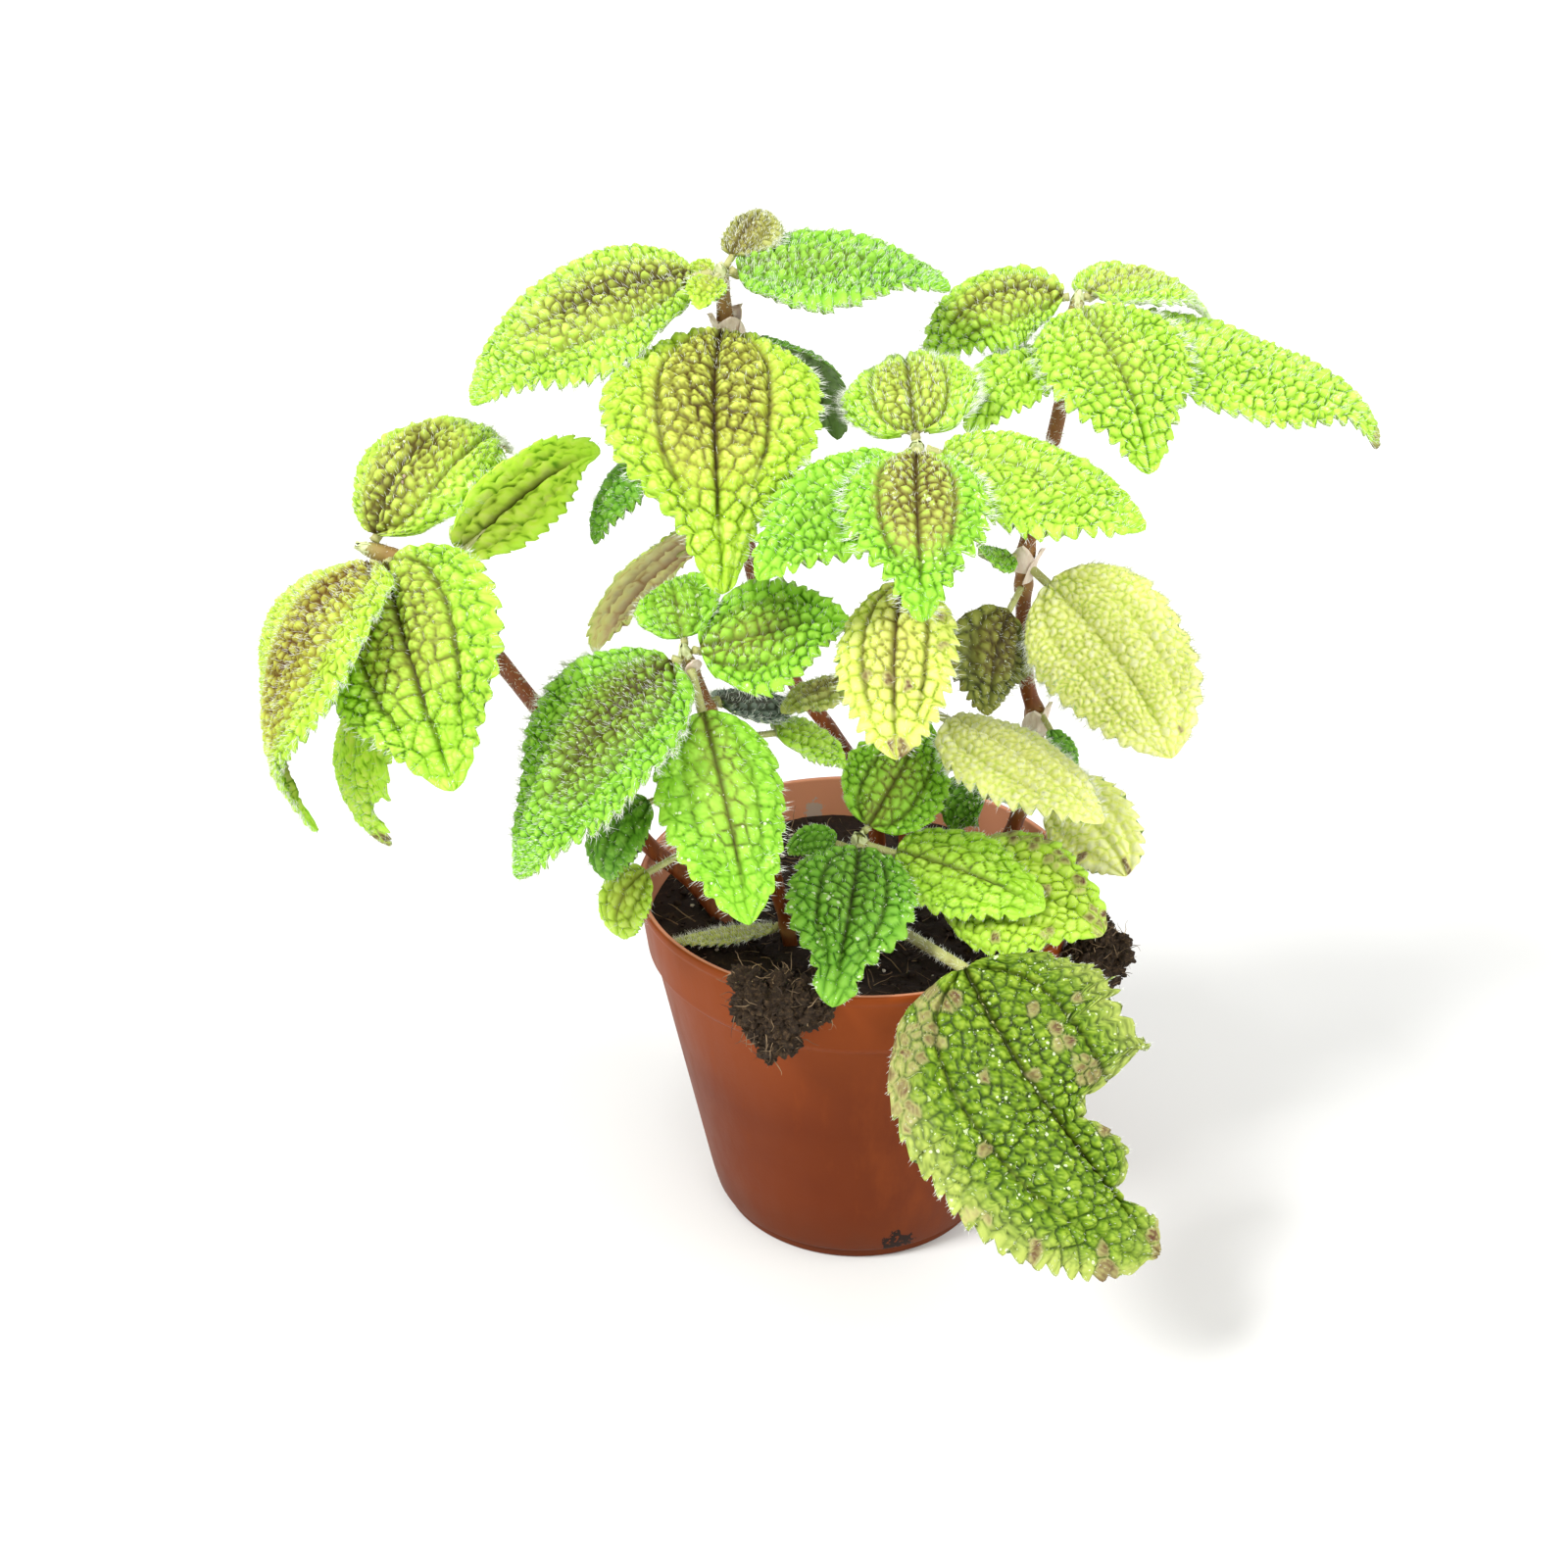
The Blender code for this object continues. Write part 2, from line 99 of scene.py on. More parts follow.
def make_piece(name, points, faces, mats, slots=None, sharp=60.0):
    """A mesh object, drawn in millimetres, as a piece in metres that rides on the part's body."""
    mesh = bpy.data.meshes.new(name)
    mesh.from_pydata((np.asarray(points, float) / 1000).tolist(), [], faces)
    for mat in mats:
        mesh.materials.append(mat)
    if slots is not None:
        mesh.polygons.foreach_set("material_index", np.asarray(slots, np.int32))
    mesh.shade_smooth()
    if sharp:
        mesh.set_sharp_from_angle(angle=math.radians(sharp))
    obj = bpy.data.objects.new(name, mesh)
    bpy.context.scene.collection.objects.link(obj)
    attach(obj, "root")
    return obj


def turned_faces(rows, turns):
    """Faces of a turned body: a point on the axis, rows of points round it, and a last point."""
    end = 1 + rows * turns
    faces = []
    for k in range(turns):
        n = (k + 1) % turns
        faces.append((0, 1 + n, 1 + k))
        for low in range(1, end - turns, turns):
            high = low + turns
            faces.append((low + k, low + n, high + n, high + k))
        faces.append((end - turns + k, end - turns + n, end))
    return faces


def lathe(profile, turns):
    """Points and faces of an outline (r, z) turned about Z, from one point on the axis to another."""
    points = [(0.0, 0.0, profile[0][1])]
    for r, z in profile[1:-1]:
        for k in range(turns):
            turn = k / turns * math.tau
            points.append((r * math.cos(turn), r * math.sin(turn), z))
    points.append((0.0, 0.0, profile[-1][1]))
    return points, turned_faces(len(profile) - 2, turns)


def rounded(corners, steps=3):
    """An outline with each inner corner (r, z, radius) drawn as a small arc."""
    path = [corners[0][:2]]
    for before, here, after in zip(corners, corners[1:], corners[2:]):
        spot = Vector(here[:2])
        back, on = Vector(before[:2]) - spot, Vector(after[:2]) - spot
        reach = min(here[2], back.length * 0.45, on.length * 0.45)
        start, end = spot + back.normalized() * reach, spot + on.normalized() * reach
        for k in range(steps + 1):
            share = k / steps
            path.append(tuple(start.lerp(spot, share).lerp(spot.lerp(end, share), share)))
    path.append(corners[-1][:2])
    return path


pot_outline = rounded([
    (0.0, 0.0, 0.0),
    (FOOT_RADIUS - 3.6, 0.0, 0.4),
    (FOOT_RADIUS, 0.0, 1.0),
    (FOOT_RADIUS + 0.3, 3.4, 0.5),
    (FOOT_RADIUS + 1.9, 3.9, 0.8),
    (FOOT_RADIUS + 3.4, 9.5, 3.0),
    (BAND_RADIUS - BAND_STEP, BAND_LOW - 1.6, 0.5),
    (BAND_RADIUS, BAND_LOW, 0.9),
    (LIP_RADIUS - 0.5, POT_TOP - 3.0, 1.2),
    (LIP_RADIUS, POT_TOP - 1.9, 0.5),
    (LIP_RADIUS, POT_TOP, 0.7),
    (LIP_RADIUS - WALL, POT_TOP, 0.5),
    (LIP_RADIUS - WALL - 2.1, BAND_LOW + 1.2, 1.0),
    (LIP_RADIUS - WALL - 4.0, BAND_LOW - 0.8, 1.0),
    (FOOT_RADIUS + 0.5, 2 * BASE_THICK, 1.0),
    (FOOT_RADIUS - 1.5, BASE_THICK, 1.0),
    (0.0, BASE_THICK, 0.0),
])

# Moulded polypropylene: satin, slightly waxy and mottled by the way it flowed into the mould, with
# peat dust at the foot. Towards the lip it is painted paler, as painted light on the upper wall. Its
# clouds are 26 mm across and its flow marks 17 mm wide; the grain of the mould, really 0.1 mm, is
# drawn 1 mm across to show. The spots, the sizes and the heights here are in metres.
SCAR_SPOT = (-0.0115, 0.0565, 0.0905)
SCAR_SIZE = 0.0058
SMEAR_SPOT = (0.011, -0.0392, 0.0066)
SMEAR_SIZE = 0.0090
pot_plastic, tree, shader = new_material("polypropylene_terracotta", 0.5, IOR=1.49,
                                         Specular_IOR_Level=0.09)
place = add_node(tree, "TexCoord").outputs["Object"]
cloud = add_node(tree, "TexNoise", {"Vector": place, "Scale": 38.0, "Detail": 4.0})
flow_marks = add_node(tree, "Mapping", {"Vector": place, "Scale": (60.0, 60.0, 14.0)})
marks = add_node(tree, "TexNoise", {"Vector": flow_marks.outputs[0], "Scale": 1.0, "Detail": 6.0,
                                    "Roughness": 0.7})
mark_share = add_node(tree, "MapRange", {"Value": marks.outputs["Fac"], "From Min": 0.52,
                                         "From Max": 0.8, "To Max": 0.35})
heights = add_node(tree, "SeparateXYZ", {"Vector": place})
# Painted light: the wall is painted paler towards the lip.
lip_painted_light = add_node(tree, "MapRange", {"Value": heights.outputs["Z"], "From Min": 0.05,
                                   "From Max": 0.098, "To Max": 0.6})
peel = add_node(tree, "TexNoise", {"Vector": place, "Scale": 900.0, "Detail": 2.0})
dust_noise = add_node(tree, "TexNoise", {"Vector": place, "Scale": 160.0, "Detail": 5.0})
low_dust = add_node(tree, "MapRange", {"Value": heights.outputs["Z"], "From Min": 0.022,
                                       "From Max": 0.0, "To Max": 0.7})
dust = add_node(tree, "Math", {0: low_dust.outputs[0], 1: dust_noise.outputs["Fac"]},
                operation="MULTIPLY")
# The inside of the wall is painted pale above the compost, as painted light on the inner wall where it lies
# in shade, with one chalky scar at the back.
from_axis = add_node(tree, "VectorMath", {0: place, 1: (1.0, 1.0, 0.0)}, operation="MULTIPLY")
from_axis = add_node(tree, "VectorMath", {0: from_axis.outputs[0]}, operation="LENGTH")
lean = add_node(tree, "Math", {0: heights.outputs["Z"], 1: -0.14, 2: from_axis.outputs["Value"]},
                operation="MULTIPLY_ADD")
# Painted light: the inner wall above the compost is painted pale where it lies in shade.
inside = add_node(tree, "MapRange", {"Value": lean.outputs[0], "From Min": 0.0454,
                                     "From Max": 0.0450, "To Max": 0.85})
above = add_node(tree, "MapRange", {"Value": heights.outputs["Z"], "From Min": 0.084,
                                    "From Max": 0.085})
inside = add_node(tree, "Math", {0: inside.outputs[0], 1: above.outputs[0]}, operation="MULTIPLY")
scar = add_node(tree, "VectorMath", {0: place, 1: SCAR_SPOT}, operation="DISTANCE")
scar_size = add_node(tree, "Math", {0: peel.outputs["Fac"], 1: SCAR_SIZE}, operation="MULTIPLY")
scar_share = add_node(tree, "Math", {0: scar.outputs["Value"], 1: scar_size.outputs[0]},
                      operation="LESS_THAN")
scar_share = add_node(tree, "Math", {0: scar_share.outputs[0], 1: inside.outputs[0]},
                      operation="MULTIPLY")
# A smear of dried peat low on the front.
smear = add_node(tree, "VectorMath", {0: place, 1: SMEAR_SPOT}, operation="DISTANCE")
smear_bend = add_node(tree, "TexNoise", {"Vector": place, "Scale": 420.0, "Detail": 3.0})
smear_size = add_node(tree, "Math", {0: smear_bend.outputs["Fac"], 1: SMEAR_SIZE},
                      operation="MULTIPLY")
smear_share = add_node(tree, "Math", {0: smear.outputs["Value"], 1: smear_size.outputs[0]},
                       operation="LESS_THAN")
smear_grain = add_node(tree, "TexNoise", {"Vector": place, "Scale": 650.0})
smear_grain = add_node(tree, "Math", {0: smear_grain.outputs["Fac"], 1: 0.42},
                       operation="GREATER_THAN")
smear_share = add_node(tree, "Math", {0: smear_share.outputs[0], 1: smear_grain.outputs[0]},
                       operation="MULTIPLY")
base = add_node(tree, "Mix", {0: cloud.outputs["Fac"], 6: srgb("5c2206"), 7: srgb("70300a")},
                data_type="RGBA")
for share, colour in (
    (mark_share, "9c4e22"),
    (lip_painted_light, "a04c1a"),
    (dust, "4a2a18"),
    # painted light on the inner wall
    (inside, "e09a78"),
    (scar_share, "b4a498"),
    (smear_share, "24140c"),
):
    base = add_node(tree, "Mix", {0: share.outputs[0], 6: base.outputs[2], 7: srgb(colour)},
                    data_type="RGBA")
tree.links.new(base.outputs[2], shader.inputs["Base Color"])
rough = add_node(tree, "MapRange", {"Value": marks.outputs["Fac"], "From Min": 0.3, "From Max": 0.75,
                                    "To Min": 0.36, "To Max": 0.6})
tree.links.new(rough.outputs[0], shader.inputs["Roughness"])
peel_bump = add_node(tree, "Bump", {"Height": peel.outputs["Fac"], "Strength": 0.12,
                                    "Distance": 0.0002})
tree.links.new(peel_bump.outputs[0], shader.inputs["Normal"])

points, faces = lathe(pot_outline, POT_TURNS)
pot = make_piece("nursery_pot", points, faces, [pot_plastic], sharp=40.0)
drill = []
for index in range(DRAIN_HOLES):
    turn = math.radians(DRAIN_START) + index / DRAIN_HOLES * math.tau
    middle = (DRAIN_CIRCLE * math.cos(turn), DRAIN_CIRCLE * math.sin(turn))
    points, faces = lathe([(0, -3), (DRAIN_RADIUS, -3), (DRAIN_RADIUS, 6), (0, 6)], DRAIN_TURNS)
    points = [(x + middle[0], y + middle[1], z) for x, y, z in points]
    hole = make_piece(f"drain_drill_{index}", points, faces, [pot_plastic])
    cut = pot.modifiers.new("drain", "BOOLEAN")
    cut.object = hole
    cut.solver = "EXACT"
    drill.append(hole)
shaped = bpy.data.meshes.new_from_object(pot.evaluated_get(bpy.context.evaluated_depsgraph_get()))
pot.modifiers.clear()
pot.data = shaped
for hole in drill:
    bpy.data.objects.remove(hole, do_unlink=True)
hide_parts("pot")


# ---- Compost -------------------------------------------------------------------------------------
# Peat-based potting compost, firmed into the pot to 12 mm under the lip: dark, damp crumbs with
# peat fibres, bits of bark and a few grains of perlite lying loose on top.
SOIL_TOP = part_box("soil")[1].z * 1000
SOIL_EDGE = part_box("soil")[1].x * 1000
SOIL_RINGS = 46
SOIL_TURNS = 120
PEAT_CRUMBS = 650
PERLITE_GRAINS = 60
FIBRES = 340
draw = random.Random("compost")


def crumble(point, size):
    """Uneven height of crumbly peat at a point: lumps of the size given with finer ones on them."""
    spot = Vector(point) / size
    return noise.noise(spot) + 0.5 * noise.noise(spot * 2.3) + 0.3 * noise.noise(spot * 5.1)


def crumb(centre, size, points, faces, squash=0.7):
    """Add one rough lump: a distorted twenty-sided body."""
    bm = bmesh.new()
    bmesh.ops.create_icosphere(bm, subdivisions=1, radius=1.0)
    first = len(points)
    stretch = [draw.uniform(0.7, 1.3) for _ in range(3)]
    for vert in bm.verts:
        reach = size * draw.uniform(0.7, 1.2)
        points.append((
            centre[0] + vert.co.x * reach * stretch[0],
            centre[1] + vert.co.y * reach * stretch[1],
            centre[2] + vert.co.z * reach * stretch[2] * squash,
        ))
    for face in bm.faces:
        faces.append(tuple(first + vert.index for vert in face.verts))
    bm.free()


def tube_faces(first, rings, sides):
    """Faces of a closed tube of so many rings, with its points numbered from first."""
    faces = []
    for ring in range(rings - 1):
        for corner in range(sides):
            a = first + ring * sides + corner
            b = first + ring * sides + (corner + 1) % sides
            faces.append((a, b, b + sides, a + sides))
    last = first + (rings - 1) * sides
    faces.append(tuple(reversed(range(first, first + sides))))
    faces.append(tuple(range(last, last + sides)))
    return faces


def strand(route, radius, points, faces, sides=3):
    """Add one closed thin tube along a route, tapering to its far end."""
    faces += tube_faces(len(points), len(route), sides)
    for index, spot in enumerate(route):
        here = Vector(spot)
        along = Vector(route[min(index + 1, len(route) - 1)]) - Vector(route[max(index - 1, 0)])
        side = along.cross(Vector((0.31, 0.2, 0.93))).normalized()
        other = along.cross(side).normalized()
        size = radius * (1.0 - 0.75 * index / (len(route) - 1))
        for corner in range(sides):
            turn = corner / sides * math.tau
            points.append(tuple(here + size * (math.cos(turn) * side + math.sin(turn) * other)))


def wander(start, heading, length, steps, curl):
    """A loose curved route for a fibre: it starts one way and strays as it goes."""
    route = [Vector(start)]
    way = Vector(heading).normalized()
    for _ in range(steps):
        way = (way + Vector([draw.gauss(0, curl) for _ in range(3)])).normalized()
        route.append(route[-1] + way * length / steps)
    return route


def peat_material(name, roughness, grains, patches, tones, dried, unevenness):
    """Peat: nearly black in its hollows, brown in patches, paler on the grains that have dried."""
    hollow, brown, dry_grain = (srgb(code) for code in tones)
    mat, tree, shader = new_material(name, roughness, Specular_IOR_Level=0.3)
    place = add_node(tree, "TexCoord").outputs["Object"]
    grain = add_node(tree, "TexNoise", {"Vector": place, **grains})
    patch = add_node(tree, "TexNoise", {"Vector": place, "Scale": patches, "Detail": 3.0})
    base = add_node(tree, "Mix", {0: patch.outputs["Fac"], 6: hollow, 7: brown}, data_type="RGBA")
    dry = add_node(tree, "MapRange", {"Value": grain.outputs["Fac"], **dried})
    base = add_node(tree, "Mix", {0: dry.outputs[0], 6: base.outputs[2], 7: dry_grain},
                    data_type="RGBA")
    tree.links.new(base.outputs[2], shader.inputs["Base Color"])
    bump = add_node(tree, "Bump", {"Height": grain.outputs["Fac"], "Strength": unevenness,
                                   "Distance": 0.0008})
    tree.links.new(bump.outputs[0], shader.inputs["Normal"])
    return mat


def two_tone(name, roughness, clouds, detail, dark, light, **values):
    """A material that drifts between two colours, with so many clouds of them to a metre."""
    mat, tree, shader = new_material(name, roughness, **values)
    place = add_node(tree, "TexCoord").outputs["Object"]
    tint = add_node(tree, "TexNoise", {"Vector": place, "Scale": clouds, "Detail": detail})
    base = add_node(tree, "Mix", {0: tint.outputs["Fac"], 6: srgb(dark), 7: srgb(light)},
                    data_type="RGBA")
    tree.links.new(base.outputs[2], shader.inputs["Base Color"])
    return mat


# Damp peat: no shine but a trace of damp, with grains 2 mm across and patches of 11 mm.
peat = peat_material("peat_compost", 0.9, {"Scale": 450.0, "Detail": 6.0, "Roughness": 0.7}, 90.0,
                     ("0e0906", "33241a", "5c452c"),
                     {"From Min": 0.55, "From Max": 0.8, "To Max": 0.8}, 0.9)

# Peat fibre and bark: dry, from straw to dark brown every 8 mm.
fibre, tree, shader = new_material("peat_fibre", 0.8)
place = add_node(tree, "TexCoord").outputs["Object"]
tint = add_node(tree, "TexNoise", {"Vector": place, "Scale": 130.0, "Detail": 2.0})
tint = add_node(tree, "MapRange", {"Value": tint.outputs["Fac"], "From Min": 0.35, "From Max": 0.7})
base = add_node(tree, "Mix", {0: tint.outputs[0], 6: srgb("2c1d12"), 7: srgb("a58a66")},
                data_type="RGBA")
tree.links.new(base.outputs[2], shader.inputs["Base Color"])

# Perlite: expanded volcanic glass, off-white and matt.
perlite = two_tone("perlite", 0.85, 700.0, 3.0, "a89d86", "e9e4d6")

points = [(0.0, 0.0, SOIL_TOP + 0.3)]
for ring in range(1, SOIL_RINGS + 1):
    radius = SOIL_EDGE * ring / SOIL_RINGS
    for k in range(SOIL_TURNS):
        turn = k / SOIL_TURNS * math.tau
        x, y = radius * math.cos(turn), radius * math.sin(turn)
        rise = 1.4 * crumble((x, y, 0.0), 9.0) + 0.9 * crumble((x, y, 40.0), 3.0)
        points.append((x, y, SOIL_TOP - 0.4 + rise * min(1.0, (SOIL_EDGE - radius) / 4 + 0.35)))
soil_floor = BASE_THICK + 0.5
soil_sides = [(SOIL_EDGE, SOIL_TOP - 4), (SOIL_EDGE - 2.2, BAND_LOW + 1.4), (52.0, BAND_LOW - 2),
              (FOOT_RADIUS + 0.2, 5.0), (FOOT_RADIUS - 2.4, soil_floor)]
for radius, z in soil_sides:
    for k in range(SOIL_TURNS):
        turn = k / SOIL_TURNS * math.tau
        points.append((radius * math.cos(turn), radius * math.sin(turn), z))
points.append((0.0, 0.0, soil_floor))
# The rings run down from the top, so the faces are turned over.
faces = [face[:1] + face[:0:-1]
         for face in turned_faces(SOIL_RINGS + len(soil_sides), SOIL_TURNS)]
slots = [0] * len(faces)


def on_soil(reach=0.96):
    """A random place on the compost's top."""
    turn = draw.uniform(0, math.tau)
    radius = SOIL_EDGE * reach * math.sqrt(draw.random())
    return radius * math.cos(turn), radius * math.sin(turn), SOIL_TOP + draw.uniform(-0.8, 0.6)


for count, largest, slot in ((PEAT_CRUMBS, 1.5, 0), (PERLITE_GRAINS, 1.0, 2)):
    for _ in range(count):
        crumb(on_soil(), draw.uniform(0.4, largest), points, faces)
    slots += [slot] * (len(faces) - len(slots))
for _ in range(FIBRES):
    heading = (draw.gauss(0, 1), draw.gauss(0, 1), draw.uniform(-0.1, 0.6))
    route = wander(on_soil(0.9), heading, length=draw.uniform(3, 12), steps=5, curl=0.2)
    strand(route, draw.uniform(0.1, 0.26), points, faces)
slots += [1] * (len(faces) - len(slots))

# Nothing loose reaches into the pot's wall.
points = np.array(points)
far = np.maximum(np.hypot(points[:, 0], points[:, 1]), 0.1)
points[:, :2] *= np.minimum(1.0, (SOIL_EDGE + 0.2) / far)[:, None]
soil = make_piece("compost", points, faces, [peat, fibre, perlite], slots)
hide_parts("soil")


# ---- Peat lumps ----------------------------------------------------------------------------------
# Two lumps of matted peat and roots, left hanging over the lip when the plant was potted. Each is
# a heap of clods grown into one body, rough all over, with loose fibres standing out of it.

# Matted peat: dark and damp inside, with dry brown grains 1 mm across on the outside, and no shine.
matted_peat = peat_material("matted_peat", 0.85, {"Scale": 800.0, "Detail": 5.0, "Roughness": 0.75},
                            240.0, ("130c07", "3e2e1d", "735a3c"),
                            {"From Min": 0.5, "From Max": 0.72, "To Max": 0.7}, 1.0)

# Where each clod's middle is, and its radius, in mm.
CLODS = {
    "peat_clump_front": [(-29.6, -57.5, 103.6, 3.6), (-27.5, -60.5, 98.5, 5.6), (-25.5, -61.5, 93.5, 4.6),
                         (-21, -62.0, 97.5, 5.8), (-15.5, -61.5, 98.2, 4.8), (-11.5, -61.2, 97.6, 3.3),
                         (-21, -62.3, 91.5, 4.8), (-23.3, -62.5, 87.4, 2.6), (-18.8, -62.5, 88.4, 2.4),
                         (-24.2, -62.6, 85.2, 1.6), (-21, -56.0, 101.5, 3.6), (-14.5, -57.0, 101.0, 2.6)],
    "peat_clump_right": [(57.5, -26.5, 103.0, 4.6), (60.0, -26.0, 98.5, 5.0), (62.5, -25.5, 93.5, 5.2),
                         (60.0, -28.0, 89.5, 5.0), (63.0, -27.0, 86.5, 4.4), (57.5, -29.5, 92.0, 5.2),
                         (61.5, -28.0, 82.6, 3.0), (67.2, -26.0, 95.0, 2.6), (67.6, -26.0, 91.0, 2.8),
                         (66.6, -26.8, 86.5, 2.6), (53.5, -24.5, 103.5, 4.0), (60.5, -27.0, 80.0, 1.8)],
}
CLOD_VOXEL = 0.42
CRUMBS_ON_LUMP = 120
FIBRES_ON_LUMP = 200
for node, clods in CLODS.items():
    bm = bmesh.new()
    for x, y, z, size in clods:
        placed = Matrix.Translation((x / 1000, y / 1000, z / 1000))
        bmesh.ops.create_icosphere(bm, subdivisions=3, radius=size / 1000, matrix=placed)
    mesh = bpy.data.meshes.new("clods")
    bm.to_mesh(mesh)
    bm.free()
    heap = bpy.data.objects.new("clods", mesh)
    bpy.context.scene.collection.objects.link(heap)
    even = heap.modifiers.new("even", "REMESH")
    even.mode = "VOXEL"
    even.voxel_size = CLOD_VOXEL / 1000
    body = bpy.data.meshes.new_from_object(heap.evaluated_get(bpy.context.evaluated_depsgraph_get()))
    bpy.data.objects.remove(heap, do_unlink=True)
    middle = sum((v.co for v in body.vertices), Vector()) / len(body.vertices) * 1000
    points = []
    for vert in body.vertices:
        spot = vert.co * 1000
        lift = 1.5 * crumble(spot, 2.8) + 1.3 * crumble(spot + Vector((9, 9, 9)), 1.0)
        points.append(tuple(spot + vert.normal * lift))
    faces = [tuple(poly.vertices) for poly in body.polygons]
    rough_spots = [v.co * 1000 for v in body.vertices]
    for _ in range(CRUMBS_ON_LUMP):
        spot = draw.choice(rough_spots)
        crumb(spot, draw.uniform(0.4, 1.0) ** 2 * 1.1, points, faces, squash=1.0)
    slots = [0] * len(faces)
    for _ in range(FIBRES_ON_LUMP):
        spot = draw.choice(rough_spots)
        heading = (spot - middle).normalized() + Vector([draw.gauss(0, 1.5) for _ in range(3)])
        route = wander(spot, heading, length=draw.uniform(1.5, 6.0), steps=5, curl=0.25)
        strand(route, draw.uniform(0.08, 0.2), points, faces)
    slots += [1] * (len(faces) - len(slots))
    piece = make_piece(node.replace("clump", "lump"), points, faces, [matted_peat, fibre], slots)
    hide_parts(node)


# ---- Stems ---------------------------------------------------------------------------------------
# Six fleshy shoots of the pilea, rooted in the compost. The skin is red-brown, thicker and lighter
# at each node where a pair of leaves stands, and carries short white hairs and papery scales.
STEM_CAP_FACES = 5                   # triangles that close each end of a frame stem, at least
LEAF_CAP_FACES = 4                   # and of a frame leaf
TUBE_SIDES = 18
RING_STEP = 0.8                      # mm between rings of a stem
HAIRS_PER_MM = 7
HAIR_RADIUS = 0.06


def rings_of(node, cap_faces):
    """The rings that a frame piece is skinned over, root end first, as lists of corners in mm.

    Its two ends are the small flat groups of at least cap_faces triangles. The root is the lower
    end of a shoot and the wider end of a leaf, and each ring is one step further over the edges."""
    def centre(ring):
        return sum((vert.co for vert in ring), Vector()) / len(ring)

    def spread(ring):
        return max((vert.co - centre(ring)).length for vert in ring)

    bm = bmesh.new()
    bm.from_mesh(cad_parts[node].data)
    bmesh.ops.remove_doubles(bm, verts=bm.verts, dist=2e-6)
    seen = set()
    ends = []
    for face in bm.faces:
        if face in seen:
            continue
        seen.add(face)
        flat = [face]
        for one in flat:
            for edge in one.edges:
                for other in edge.link_faces:
                    if other not in seen and other.normal.dot(face.normal) > 0.999999:
                        seen.add(other)
                        flat.append(other)
        rim = {vert for one in flat for vert in one.verts}
        if len(flat) >= cap_faces and spread(rim) < 0.004:
            ends.append(rim)
    shoot = node.startswith("stem")
    root = min(ends, key=lambda ring: centre(ring).z) if shoot else max(ends, key=spread)
    layers = [root]
    reached = set(root)
    while True:
        following = {edge.other_vert(vert) for vert in layers[-1] for edge in vert.link_edges}
        following -= reached
        if not following:
            break
        layers.append(following)
        reached |= following
    rings = []
    for number, layer in enumerate(layers):
        if shoot:
            order = list(layer)
        elif number in (0, len(layers) - 1):
            normal = centre(layer) - centre(layers[1 if number == 0 else -2])
            first = next(iter(layer)).co - centre(layer)
            across = normal.normalized().cross(first)
            order = sorted(layer, key=lambda v: math.atan2(
                (v.co - centre(layer)).dot(across), (v.co - centre(layer)).dot(first)))
        else:
            order = [next(iter(layer))]
            while len(order) < len(layer):
                order.append(next(
                    edge.other_vert(order[-1]) for edge in order[-1].link_edges
                    if edge.other_vert(order[-1]) in layer
                    and edge.other_vert(order[-1]) not in order
                ))
        rings.append(np.array([tuple(vert.co * 1000) for vert in order]))
    bm.free()
    return rings


def flow(knots, values, at):
    """Values read smoothly between knots: a cubic with slopes taken from the knots either side."""
    slopes = np.gradient(values, knots, axis=0)
    low = np.clip(np.searchsorted(knots, at) - 1, 0, len(knots) - 2)
    step = (knots[low + 1] - knots[low])[:, None]
    share = (at - knots[low])[:, None] / step
    rest = 1.0 - share
    return (values[low] * (1 + 2 * share) * rest ** 2
            + values[low + 1] * (3 - 2 * share) * share ** 2
            + slopes[low] * step * share * rest ** 2
            - slopes[low + 1] * step * share ** 2 * rest)


def unit(rows):
    """Rows of vectors, each scaled to length one."""
    return rows / np.maximum(np.linalg.norm(rows, axis=-1, keepdims=True), 1e-9)


def spikes(roots, ways, lengths, radius, first):
    """Closed three-sided spikes for hairs: points and faces, numbered from first."""
    count = len(roots)
    aside = unit(np.cross(ways, np.roll(ways, 1, axis=1) + (0.13, 0.31, 0.07)))
    other = np.cross(ways, aside)
    made = np.empty((count, 4, 3))
    for corner in range(3):
        turn = corner / 3 * math.tau
        made[:, corner] = roots + radius * (math.cos(turn) * aside + math.sin(turn) * other)
    made[:, 3] = roots + ways * lengths[:, None]
    start = first + 4 * np.arange(count)
    faces = []
    for a, b, c in ((0, 2, 1), (0, 1, 3), (1, 2, 3), (2, 0, 3)):
        faces += list(zip((start + a).tolist(), (start + b).tolist(), (start + c).tolist()))
    return made.reshape(-1, 3), faces


leaf_nodes = sorted(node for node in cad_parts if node.startswith("leaf_"))
leaf_rings = {node: np.array(rings_of(node, LEAF_CAP_FACES)) for node in leaf_nodes}
leaf_roots = {node: rings[0].mean(axis=0) for node, rings in leaf_rings.items()}

